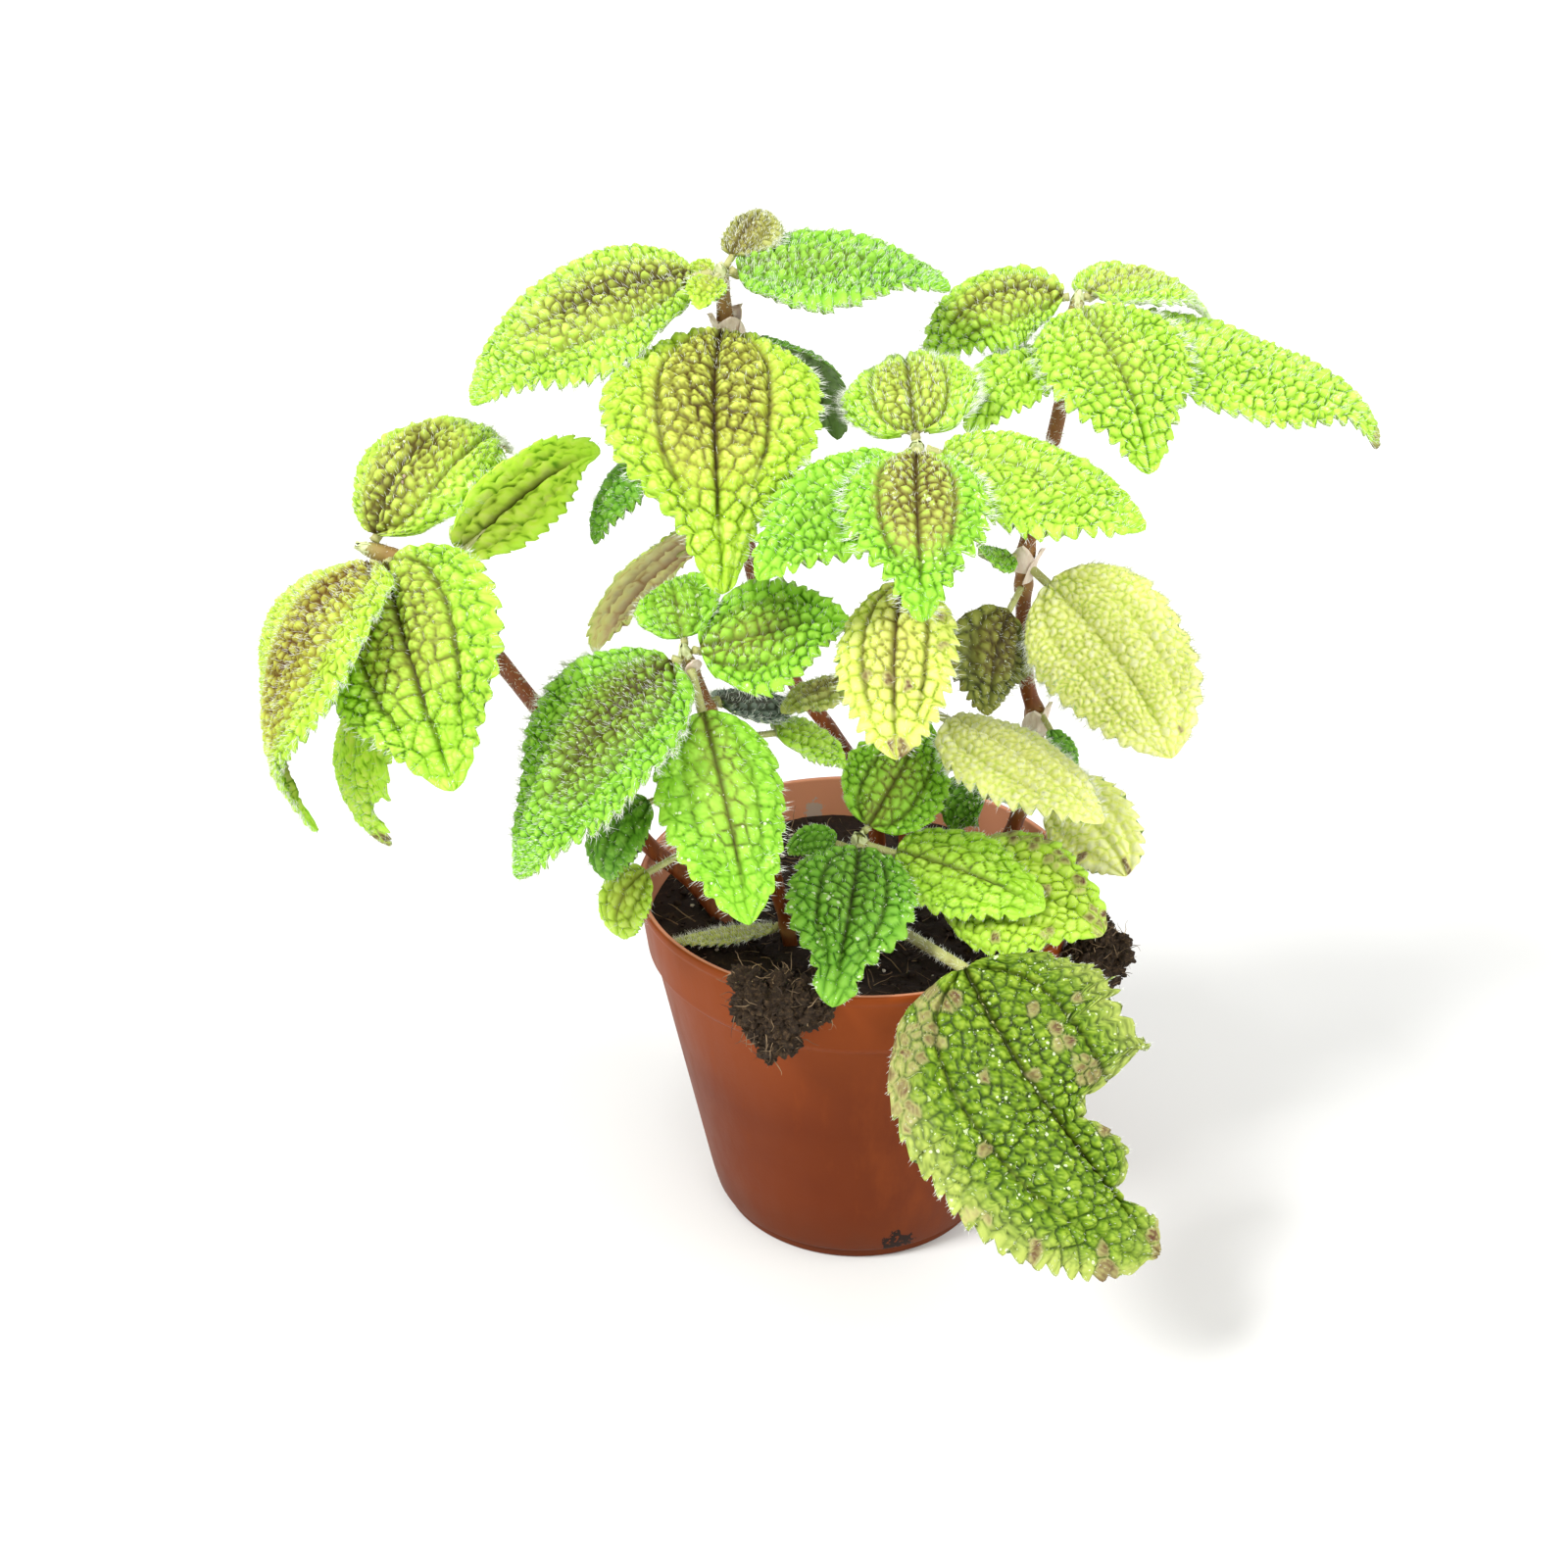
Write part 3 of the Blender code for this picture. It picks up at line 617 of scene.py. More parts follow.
# Stem skin: a thin glossy cuticle over red-brown flesh, with streaks 1 mm wide and 17 mm long. It is
# greener when young.
stem_skin, tree, shader = new_material("pilea_stem_skin", 0.5, Specular_IOR_Level=0.3)
place = add_node(tree, "TexCoord").outputs["Object"]
streak_map = add_node(tree, "Mapping", {"Vector": place, "Scale": (900.0, 900.0, 60.0)})
streak = add_node(tree, "TexNoise", {"Vector": streak_map.outputs[0], "Scale": 1.0, "Detail": 3.0})
heights = add_node(tree, "SeparateXYZ", {"Vector": place})
young = add_node(tree, "MapRange", {"Value": heights.outputs["Z"], "From Min": 0.16,
                                    "From Max": 0.27, "To Max": 0.65})
near_node = add_node(tree, "Attribute", attribute_name="node_share").outputs["Fac"]
near_tip = add_node(tree, "Attribute", attribute_name="tip_share").outputs["Fac"]
base = add_node(tree, "Mix", {0: streak.outputs["Fac"], 6: srgb("40170a"), 7: srgb("96501c")},
                data_type="RGBA")
for share, colour in ((young.outputs[0], "9a7448"), (near_node, "9a7040"), (near_tip, "8f9450")):
    base = add_node(tree, "Mix", {0: share, 6: base.outputs[2], 7: srgb(colour)}, data_type="RGBA")
tree.links.new(base.outputs[2], shader.inputs["Base Color"])
streak_bump = add_node(tree, "Bump", {"Height": streak.outputs["Fac"], "Strength": 0.35,
                                      "Distance": 0.0003})
tree.links.new(streak_bump.outputs[0], shader.inputs["Normal"])

# Plant hairs: clear, colourless cell walls that catch the light as white.
plant_hair = two_tone("plant_hair", 0.35, 60.0, 2.0, "eef4dc", "ffffff", Specular_IOR_Level=0.8)

# Stipules: dry papery scales, pinkish buff, with brown veins 0.7 mm apart along them.
stipule_paper, tree, shader = new_material("stipule_paper", 0.6)
place = add_node(tree, "TexCoord").outputs["Object"]
vein_map = add_node(tree, "Mapping", {"Vector": place, "Scale": (1500.0, 1500.0, 150.0)})
vein_lines = add_node(tree, "TexNoise", {"Vector": vein_map.outputs[0], "Scale": 1.0, "Detail": 2.0})
base = add_node(tree, "Mix", {0: vein_lines.outputs["Fac"], 6: srgb("c9a994"), 7: srgb("f6ece0")},
                data_type="RGBA")
tree.links.new(base.outputs[2], shader.inputs["Base Color"])

# Young leaves, still folded: pale yellow-green and felted, the felt drawn 1 mm across to show.
young_leaf = two_tone("young_leaf", 0.6, 900.0, 3.0, "98a050", "eaf0c4", Specular_IOR_Level=0.2)

# How each shoot's papery scales stand: height on the stem, heading, length and width, in mm. Two
# pairs of folded young leaves close the tip of every shoot.
STIPULES = {
    "a": [(197, 60, 6, 6), (197, -120, 6, 5)],
    "b": [(246, -70, 7, 9), (246, -160, 7, 9), (247, 30, 7, 9), (221, -90, 5, 5)],
    "c": [(231, -60, 4, 5), (172, -90, 5, 5)],
    "d": [(184, -20, 9, 8), (186, -110, 8, 7), (140, -110, 8, 8), (141, -30, 8, 7), (142, 100, 7, 6)],
    "e": [(183, -60, 4, 5), (150, -40, 4, 5)],
    "f": [(119, -60, 4, 4)],
}
BUD = [(-90, 3.8, 3.4), (90, 3.8, 3.4), (0, 3.2, 3.0), (180, 3.2, 3.0)]

for letter in "abcdef":
    rings = rings_of("stem_" + letter, STEM_CAP_FACES)
    centres = np.array([ring.mean(axis=0) for ring in rings])
    girth = np.median([np.linalg.norm(ring - ring.mean(axis=0), axis=1).max() for ring in rings])
    knots = np.concatenate([[0.0], np.cumsum(np.linalg.norm(np.diff(centres, axis=0), axis=1))])
    at = np.linspace(0.0, knots[-1], int(knots[-1] / RING_STEP) + 2)
    line = flow(knots, centres, at)
    swell = np.zeros(len(at))
    for node in leaf_nodes:
        if node.startswith("leaf_" + letter):
            nearest = np.linalg.norm(line - leaf_roots[node], axis=1).argmin()
            swell = np.maximum(swell, np.exp(-((at - at[nearest]) / 2.6) ** 2))
    rng = np.random.default_rng(ord(letter))
    lumps = sum(np.sin(at / step + rng.uniform(0, 6)) for step in (3.1, 7.3, 13.0)) / 3
    thick = girth * (0.93 + 0.05 * lumps + 0.27 * swell)
    thick *= 1.0 - 0.18 * at / knots[-1]
    tip_share = np.exp(-(knots[-1] - at) / 5)
    thick *= 1 - 0.6 * tip_share ** 1.5
    thick[-2:] *= (0.85, 0.5)
    along = unit(np.gradient(line, axis=0))
    side = unit(np.cross(along, (0.0, 1.0, 0.0)))
    other = np.cross(along, side)
    turns = np.arange(TUBE_SIDES) / TUBE_SIDES * math.tau
    ribs = 1.0 + 0.03 * np.sin(3 * turns[None, :] + at[:, None] / 9) \
        + 0.02 * np.sin(7 * turns[None, :] + at[:, None] / 21)
    points = (line[:, None] + (thick[:, None] * ribs)[..., None]
              * (np.cos(turns)[None, :, None] * side[:, None]
                 + np.sin(turns)[None, :, None] * other[:, None])).reshape(-1, 3)
    faces = []
    for ring in range(len(at) - 1):
        for corner in range(TUBE_SIDES):
            a = ring * TUBE_SIDES + corner
            b = ring * TUBE_SIDES + (corner + 1) % TUBE_SIDES
            faces.append((a, a + TUBE_SIDES, b + TUBE_SIDES, b))
    faces.append(tuple(range(TUBE_SIDES)))
    faces.append(tuple(reversed(range(len(points) - TUBE_SIDES, len(points)))))
    slots = [0] * len(faces)

    # Hairs stand out along the stem, thickest on its young end.
    hairs = int(knots[-1] * HAIRS_PER_MM)
    spot = (rng.random(hairs) ** 0.4 * (len(at) - 2)).astype(int)
    turn = rng.uniform(0, math.tau, hairs)
    out = np.cos(turn)[:, None] * side[spot] + np.sin(turn)[:, None] * other[spot]
    above = line[spot][:, 2] > SOIL_TOP + 2
    ways = unit(out + 0.3 * rng.normal(size=(hairs, 3)))
    more, more_faces = spikes((line[spot] + out * thick[spot][:, None] * 0.95)[above], ways[above],
                              rng.uniform(0.7, 1.8, hairs)[above], HAIR_RADIUS, len(points))
    points = np.vstack([points, more])
    faces += more_faces
    slots += [1] * len(more_faces)

    # Each papery scale is a small pointed cup that clasps the stem and stands up from it.
    scales = [(np.abs(line[:, 2] - height).argmin(), *rest, 0.3, 2)
              for height, *rest in STIPULES[letter]]
    scales += [(len(line) - 3, heading + 40 * ord(letter), length, width, -0.24, 3)
               for heading, length, width in BUD]
    for spot, heading, length, width, flare, kind in scales:
        out = np.array([math.cos(math.radians(heading)), math.sin(math.radians(heading)), 0.0])
        out = unit(out - along[spot] * out.dot(along[spot]))
        across = np.cross(along[spot], out)
        first = len(points)
        rows, columns = 9, 9
        sheets = []
        for lift in (0.0, -0.12):
            for row in range(rows):
                s = row / (rows - 1)
                half = width / 2 * (1 - s ** 2.2) ** 0.7 + 0.05
                for column in range(columns):
                    t = column / (columns - 1) * 2 - 1
                    crinkle = 0.25 * math.sin(9 * s + 5 * t + heading) * s
                    sheets.append(
                        line[spot]
                        + out * (thick[spot] * 1.05 + lift + length * flare * s ** 1.4
                                 - 0.2 * width * t * t * (1 - 0.5 * s) + crinkle)
                        + across * (half * t)
                        + along[spot] * (length * s - 1.0)
                    )
        points = np.vstack([points, sheets])
        size = rows * columns
        for row in range(rows - 1):
            for column in range(columns - 1):
                a = first + row * columns + column
                quad = (a, a + 1, a + 1 + columns, a + columns)
                faces.append(quad)
                faces.append(tuple(v + size for v in reversed(quad)))
        rim = [first + c for c in range(columns)]
        rim += [first + r * columns + columns - 1 for r in range(1, rows)]
        rim += [first + (rows - 1) * columns + c for c in reversed(range(columns - 1))]
        rim += [first + r * columns for r in reversed(range(1, rows - 1))]
        for a, b in zip(rim, rim[1:] + rim[:1]):
            faces.append((b, a, a + size, b + size))
        slots += [kind] * (len(faces) - len(slots))

    stem = make_piece("shoot_" + letter, points, faces,
                      [stem_skin, plant_hair, stipule_paper, young_leaf], slots)
    for channel, values in (("node_share", swell), ("tip_share", tip_share)):
        carried = np.concatenate([np.repeat(values, TUBE_SIDES), np.zeros(len(points))])
        held = stem.data.attributes.new(channel, "FLOAT", "POINT")
        held.data.foreach_set("value", carried[:len(points)])
    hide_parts("stem_" + letter)


# ---- Leaves --------------------------------------------------------------------------------------
# Opposite leaves on short petioles, broad and pointed, toothed at the edge. Three main veins run
# from the base; between their branches the blade puffs up into rows of cells, like quilting.
BLADE_STEP = 0.57                    # mm between points of the upper skin
BLADE_RINGS = 12                     # rings of a frame blade, and of a small one
SMALL_BLADE_RINGS = 7
SHAPE_WIDEST = 0.375                 # where a blade is widest, as a share of its length
LATERAL = 0.50                       # where the outer main veins lie, as a share of the half width
SLANT = 0.42                         # how far the teeth run forward as they go out
COARSE_CELL = 3.0                    # larger cells than this, in mm, have smaller puffs on them
SPOTS_PER_CELL = 24                  # tries from which each cell's middle is evened out
FINE_CELL = 0.52                     # size of the smaller puffs, as a share of the cells
PETIOLE_SIDES = 10
BLADE_HAIR_RADIUS = 0.07
HAIRS_PER_RING = 14                  # on a petiole

# Blade skins by tone: hollow, flank, crest, brown middle, vein, edge and crest of the middle. The hollow
# is painted shade in the folds, the crest a painted highlight on each cell, and the edge a painted
# glow of light through the margin.
BLADE_TONES = {
    "lime": ("648408", "b6de36", "e4fd78", "563a0c", "3a240a", "c4f84c", "e8e668"),
    "rust": ("6c8a08", "b4dc34", "e2fd76", "6c4410", "46240c", "c4f84c", "ccb44c"),
    "leafy": ("548408", "a8de34", "dcfe74", "5a4a14", "40300e", "ccfc54", "d4d860"),
    "fresh": ("4a8008", "8cd02e", "c0f85c", "6a4c1c", "46300c", "bdf84e", "ecdc78"),
    "grass": ("3c6c0a", "80c82a", "b8ee5c", "564a16", "3c2a0c", "a8e440", "8c9c40"),
    "forest": ("346408", "6cb02a", "a0dc54", "4c5218", "2c280c", "96d044", "7c9444"),
    "cream": ("dcf06c", "fcff94", "ffffd4", "c8c064", "9aa63e", "ffffa8", "f0ee90"),
    "butter": ("a0b832", "e4f468", "fdffa4", "a89a40", "543c10", "f8ff8c", "f0e880"),
    "moss": ("4c4c14", "9a9c40", "ccd07c", "5a4418", "40300e", "b8c460", "a89c50"),
    "straw": ("8c983c", "c4d068", "ecf498", "8a7a3c", "66562a", "e6e28c", "d8cc80"),
    "thin": ("7ab418", "d8ff5c", "f8ffa0", "8c8c30", "444c10", "d8ff68", "dcec60"),
    "bark": ("26240c", "667028", "a4a84e", "4e3c1c", "2a1c0c", "7c7834", "8a7c38"),
    "ash": ("16201c", "4c5c52", "a0b0a6", "2e2a24", "141414", "7c8a80", "6c6a58"),
    "old": ("385808", "70941a", "b0cc44", "7c5830", "2e280c", "ccd474", "b0b050"),
}

# One line a leaf, named as its node is but without the "leaf_": tone, cell size and puff in mm, then
# how brown its middle is, how dark its veins are, and how many hairs stand on a square millimetre.
LEAF_LOOKS = {
    "a1": ("rust", 2.4, 1.0, 1.2, 0.9, 0.9),
    "a2": ("leafy", 3.8, 1.5, 0.42, 0.95, 0.4),
    "a3": ("leafy", 2.5, 1.1, 1.2, 0.7, 0.8),
    "a4": ("thin", 4.4, 0.8, 0.1, 1.0, 0.5),
    "a5": ("thin", 3.4, 0.7, 0.0, 0.3, 0.3),
    "b1": ("leafy", 2.5, 1.1, 1.1, 0.8, 0.9),
    "b2": ("grass", 2.5, 1.4, 0.3, 0.4, 1.5),
    "b3": ("lime", 3.9, 1.5, 0.9, 1.0, 0.4),
    "b4": ("moss", 1.7, 0.6, 0.5, 0.6, 3.4),
    "b5": ("forest", 2.6, 0.7, 0.0, 0.3, 0.6),
    "b6": ("forest", 2.6, 0.6, 0.0, 0.3, 0.8),
    "b7": ("lime", 1.5, 0.5, 0.3, 0.3, 1.0),
    "b8": ("lime", 1.5, 0.4, 0.3, 0.3, 1.0),
    "b9": ("thin", 3.0, 0.8, 0.0, 0.7, 0.5),
    "c1": ("leafy", 2.3, 0.9, 0.5, 0.7, 0.9),
    "c2": ("fresh", 2.3, 0.9, 0.8, 0.9, 0.7),
    "c3": ("leafy", 2.4, 0.8, 0.1, 0.3, 0.7),
    "c4": ("fresh", 2.6, 0.8, 0.0, 0.3, 0.6),
    "c5": ("butter", 2.8, 1.0, 0.25, 1.0, 0.6),
    "c6": ("straw", 2.2, 0.6, 0.8, 0.6, 1.2),
    "c7": ("cream", 2.3, 0.7, 0.2, 0.3, 0.8),
    "d1": ("leafy", 2.5, 1.1, 0.9, 0.6, 1.2),
    "d2": ("leafy", 2.6, 1.2, 0.2, 0.5, 0.7),
    "d3": ("leafy", 2.5, 1.0, 0.6, 0.5, 1.1),
    "d4": ("leafy", 2.8, 1.1, 0.0, 0.2, 0.7),
    "d5": ("leafy", 2.8, 0.8, 0.0, 0.3, 0.6),
    "d6": ("cream", 1.9, 1.0, 0.0, 0.3, 1.0),
    "d7": ("grass", 1.6, 0.5, 0.2, 0.3, 1.0),
    "d8": ("forest", 1.8, 0.5, 0.0, 0.2, 0.8),
    "d9": ("bark", 2.6, 0.7, 0.8, 0.6, 0.9),
    "d10": ("cream", 2.4, 0.5, 0.0, 0.1, 0.7),
    "d11": ("forest", 2.2, 0.6, 0.0, 0.3, 0.7),
    "e1": ("grass", 2.3, 1.1, 1.0, 0.7, 1.0),
    "e2": ("fresh", 3.5, 0.5, 0.15, 0.85, 0.45),
    "e3": ("fresh", 2.6, 1.2, 0.2, 0.7, 0.6),
    "e4": ("fresh", 2.2, 0.7, 0.1, 0.4, 0.9),
    "e5": ("leafy", 2.4, 0.7, 0.1, 0.3, 0.8),
    "e6": ("forest", 3.4, 0.4, 0.0, 0.4, 0.4),
    "e7": ("lime", 2.8, 0.5, 0.2, 0.5, 0.4),
    "e8": ("ash", 2.2, 0.6, 0.6, 0.5, 0.8),
    "e9": ("straw", 2.0, 0.5, 0.2, 0.3, 3.0),
    "f1": ("forest", 2.9, 0.75, 0.1, 0.8, 0.4),
    "f2": ("fresh", 2.5, 0.9, 0.2, 0.8, 0.5),
    "f3": ("leafy", 3.4, 0.8, 0.1, 0.7, 0.4),
    "f4": ("forest", 1.8, 0.5, 0.0, 0.3, 0.8),
    "f5": ("lime", 2.8, 0.9, 0.0, 0.3, 0.35),
    "f6": ("old", 3.2, 1.4, 0.0, 0.8, 0.25),
}

# How much narrower than usual the last quarter is, for tips that are drawn out or round.
TAPERS = {
    "a1": 0.3, "a2": 0.22, "b2": 0.3, "b3": 0.36, "c2": 0.3, "c5": 0.0, "d2": 0.25, "d4": 0.3,
    "d6": -0.05, "d10": -0.1, "e2": 0.05, "e7": -0.1, "f1": 0.35, "f6": -0.1,
}

# Leaves whose teeth are round scallops; on the others they point forward.
ROUND_TEETH = ("a2", "b3", "e2", "f1", "f2", "f3", "f5", "d6")

# Leaves whose brown middle ends sharply at the two outer main veins.
FRAMED = ("a2", "b3", "c1", "c2")

# Leaves on which only the midrib is dark.
ONE_VEINED = ("a4", "a5", "d2", "d6", "e2", "f3")

# Where a side is fuller than usual, or leaner below 0: side (1 is the leaf's left), place along it,
# half length, and by how much.
FULLER = {
    "a1": [(-1, 0.12, 0.12, 0.4), (-1, 0.4, 0.25, 0.15), (1, 0.8, 0.26, -0.75)],
    "a2": [(1, 0.35, 0.3, 0.06)],
    "a4": [(1, 0.6, 0.3, 0.15), (-1, 0.35, 0.3, 0.1)],
    "b1": [(1, 0.45, 0.25, 0.12), (-1, 0.4, 0.35, -0.08), (1, 0.08, 0.1, -0.09),
           (-1, 0.08, 0.1, -0.05)],
    "b2": [(-1, 0.4, 0.35, 0.28), (1, 0.5, 0.3, -0.08)],
    "b3": [(1, 0.06, 0.1, -0.14), (-1, 0.06, 0.1, -0.14), (-1, 0.4, 0.2, 0.05)],
    "b4": [(1, 0.5, 0.5, -0.4), (-1, 0.5, 0.5, 0.35)],
    "c3": [(1, 0.5, 0.3, -0.14), (-1, 0.6, 0.3, 0.12)],
    "c4": [(1, 0.4, 0.3, 0.25)],
    "d1": [(1, 0.4, 0.3, 0.2), (-1, 0.5, 0.4, -0.28)],
    "d3": [(1, 0.5, 0.4, -0.15)],
    "d4": [(1, 0.5, 0.35, -0.25)],
    "d6": [(1, 0.75, 0.2, 0.08), (-1, 0.6, 0.3, -0.06)],
    "d9": [(1, 0.5, 0.4, 0.25), (-1, 0.5, 0.4, 0.25)],
    "d10": [(-1, 0.5, 0.4, 0.25)],
    "e1": [(-1, 0.25, 0.25, 0.22)],
    "e3": [(1, 0.5, 0.35, 0.2), (-1, 0.35, 0.3, 0.15)],
    "e4": [(1, 0.5, 0.35, 0.15), (-1, 0.5, 0.35, 0.15)],
    "f1": [(1, 0.93, 0.06, 0.5), (-1, 0.93, 0.06, 0.5)],
    "f3": [(1, 0.9, 0.1, 0.2), (-1, 0.9, 0.1, 0.2)],
    "f6": [(-1, 0.6, 0.12, 0.07)],
}

# Old and damaged edges: side, place along it, half length and depth of each bite, as shares of the
# length and of the half width.
BITES = {
    "a1": [(-1, 0.8, 0.04, 0.3)],
    "a3": [(1, 0.7, 0.04, 0.4), (1, 0.86, 0.05, 0.5), (-1, 0.78, 0.05, 0.35)],
    "a5": [(1, 0.6, 0.08, 0.45), (-1, 0.8, 0.06, 0.5), (1, 0.9, 0.03, 0.3)],
    "f6": [(-1, 0.97, 0.02, 0.3)],
}

# The old leaf's left side is eaten away in two deep coves with a lobe left between them: how much of
# the half width is left, place by place along the leaf, and where each cove starts.
EATEN = {
    "f6": [(0.0, 1.0), (0.22, 0.98), (0.3, 0.84), (0.43, 0.92), (0.455, 0.6), (0.475, 0.3),
           (0.52, 0.15), (0.57, 0.26), (0.67, 0.37), (0.71, 0.33), (0.74, 0.06), (0.79, 0.04),
           (0.82, 0.14), (0.88, 0.26), (0.94, 0.62), (1.0, 0.7)],
}
COVE_STARTS = (0.46, 0.73)

# Margins drawn out along the leaf: side, place along it, half length, and how far they reach in mm.
HOOKS = {"a1": (-1, 0.12, 0.16, -7.0), "f6": (1, 0.4, 0.055, 6.5)}

# Leaves with a broad pale edge, a painted glow of light through the thin margin.
PALE_EDGED = ("f5", "f6")

# Dead patches: place along and across the blade as shares, and reach in mm. They fill whole cells.
SPOTS = {
    "a3": [(0.85, 0.5, 3.5), (0.95, 0.0, 3.5)],
    "a5": [(0.9, 0.3, 3.0), (0.8, 0.8, 2.0)],
    "c5": [(0.56, -0.55, 0.5), (0.58, -0.02, 0.5), (0.62, 0.3, 0.5), (0.26, 0.75, 0.5),
           (0.4, 0.82, 0.5), (0.9, -0.35, 0.5), (0.9, 0.15, 0.5), (0.97, 0.0, 0.5)],
    "d4": [(0.98, 0.0, 3.0)],
    "d6": [(0.9, 0.6, 0.6)],
    "d10": [(0.65, -0.8, 1.2), (0.9, 0.3, 0.8)],
    "f5": [(0.3, 0.85, 3.0), (0.45, 0.85, 3.6), (0.6, 0.7, 2.6), (0.75, 0.6, 3.0),
           (0.7, -0.6, 1.6), (0.9, 0.2, 3.2), (0.4, -0.8, 1.6), (0.55, 0.1, 0.8)],
    "f6": [(0.05, -0.6, 4.5), (0.12, -0.85, 6.0), (0.2, -0.9, 5.0), (0.14, -0.5, 3.0),
           (0.27, -0.85, 3.6), (0.1, -0.25, 1.5), (0.2, 0.3, 2.2), (0.27, 0.34, 2.6),
           (0.34, 0.36, 3.2), (0.41, 0.4, 3.0), (0.47, 0.36, 3.0), (0.3, -0.3, 1.5),
           (0.24, 0.62, 2.2), (0.37, 0.05, 1.6), (0.62, 0.3, 1.2), (0.6, 0.62, 1.2),
           (0.66, 0.8, 2.2), (0.78, 0.85, 1.5), (0.9, 0.7, 4.0), (0.96, 0.3, 3.5),
           (0.55, -0.9, 2.2), (0.7, -0.92, 2.2), (0.86, -0.8, 2.6), (0.45, -0.5, 1.2)],
}


def step_up(low, high, value):
    """0 below low, 1 above high, and smooth between."""
    share = np.clip((value - low) / (high - low), 0.0, 1.0)
    return share * share * (3 - 2 * share)


def half_outline(s):
    """Half width along a blade as a share of its widest: round at the base, pointed at the tip."""
    s = np.clip(s, 0.0, 1.0)
    widest = SHAPE_WIDEST ** 0.45 * (1 - SHAPE_WIDEST) ** 0.75
    return s ** 0.45 * (1 - s) ** 0.75 / widest


def cell_middles(length, half, size, rng):
    """Where the quilted cells lie, in mm across and along. Each of the four strips between the main
    veins and the edge is filled on its own, and the cells are moved apart until they lie evenly."""
    count = int(SPOTS_PER_CELL * 2 * length * half / size ** 2)
    x = rng.uniform(-half, half, count)
    y = rng.uniform(0, length, count)
    reach = half * half_outline(y / length)
    side_vein = LATERAL * reach * (1 - np.exp(-y / length / 0.035))
    middles = []
    for side in (-1, 1):
        for low, high in ((0.0 * reach, side_vein), (side_vein, reach)):
            inside = (x * side > low) & (x * side < high)
            spots = np.stack([x[inside], y[inside]], axis=1)
            if len(spots) < 3:
                continue
            cells = spots[:max(1, round(len(spots) / SPOTS_PER_CELL))].copy()
            for _ in range(5):
                gap = (spots[:, None, 0] - cells[:, 0]) ** 2 + 0.8 * (spots[:, None, 1] - cells[:, 1]) ** 2
                mine = gap.argmin(axis=1)
                held = np.maximum(np.bincount(mine, minlength=len(cells)), 1)
                for axis in (0, 1):
                    total = np.bincount(mine, weights=spots[:, axis], minlength=len(cells))
                    cells[:, axis] = np.where(total != 0, total / held, cells[:, axis])
            middles.append(cells)
    return np.vstack(middles)


def cell_edge(x, y, middles):
    """For each point, how far it lies from its cell's border, and which cell it is in."""
    batch = 4000
    edge = np.empty(len(x))
    mine = np.empty(len(x), int)
    for start in range(0, len(x), batch):
        part = slice(start, start + batch)
        gap = (x[part, None] - middles[:, 0]) ** 2 + (y[part, None] - middles[:, 1]) ** 2
        two = np.argpartition(gap, 1, axis=1)[:, :2]
        near = np.take_along_axis(gap, two, axis=1)
        apart = np.linalg.norm(middles[two[:, 0]] - middles[two[:, 1]], axis=1)
        edge[part] = np.abs(near[:, 1] - near[:, 0]) / (2 * apart + 1e-6)
        mine[part] = np.take_along_axis(two, near.argmin(axis=1)[:, None], axis=1)[:, 0]
    return edge, mine


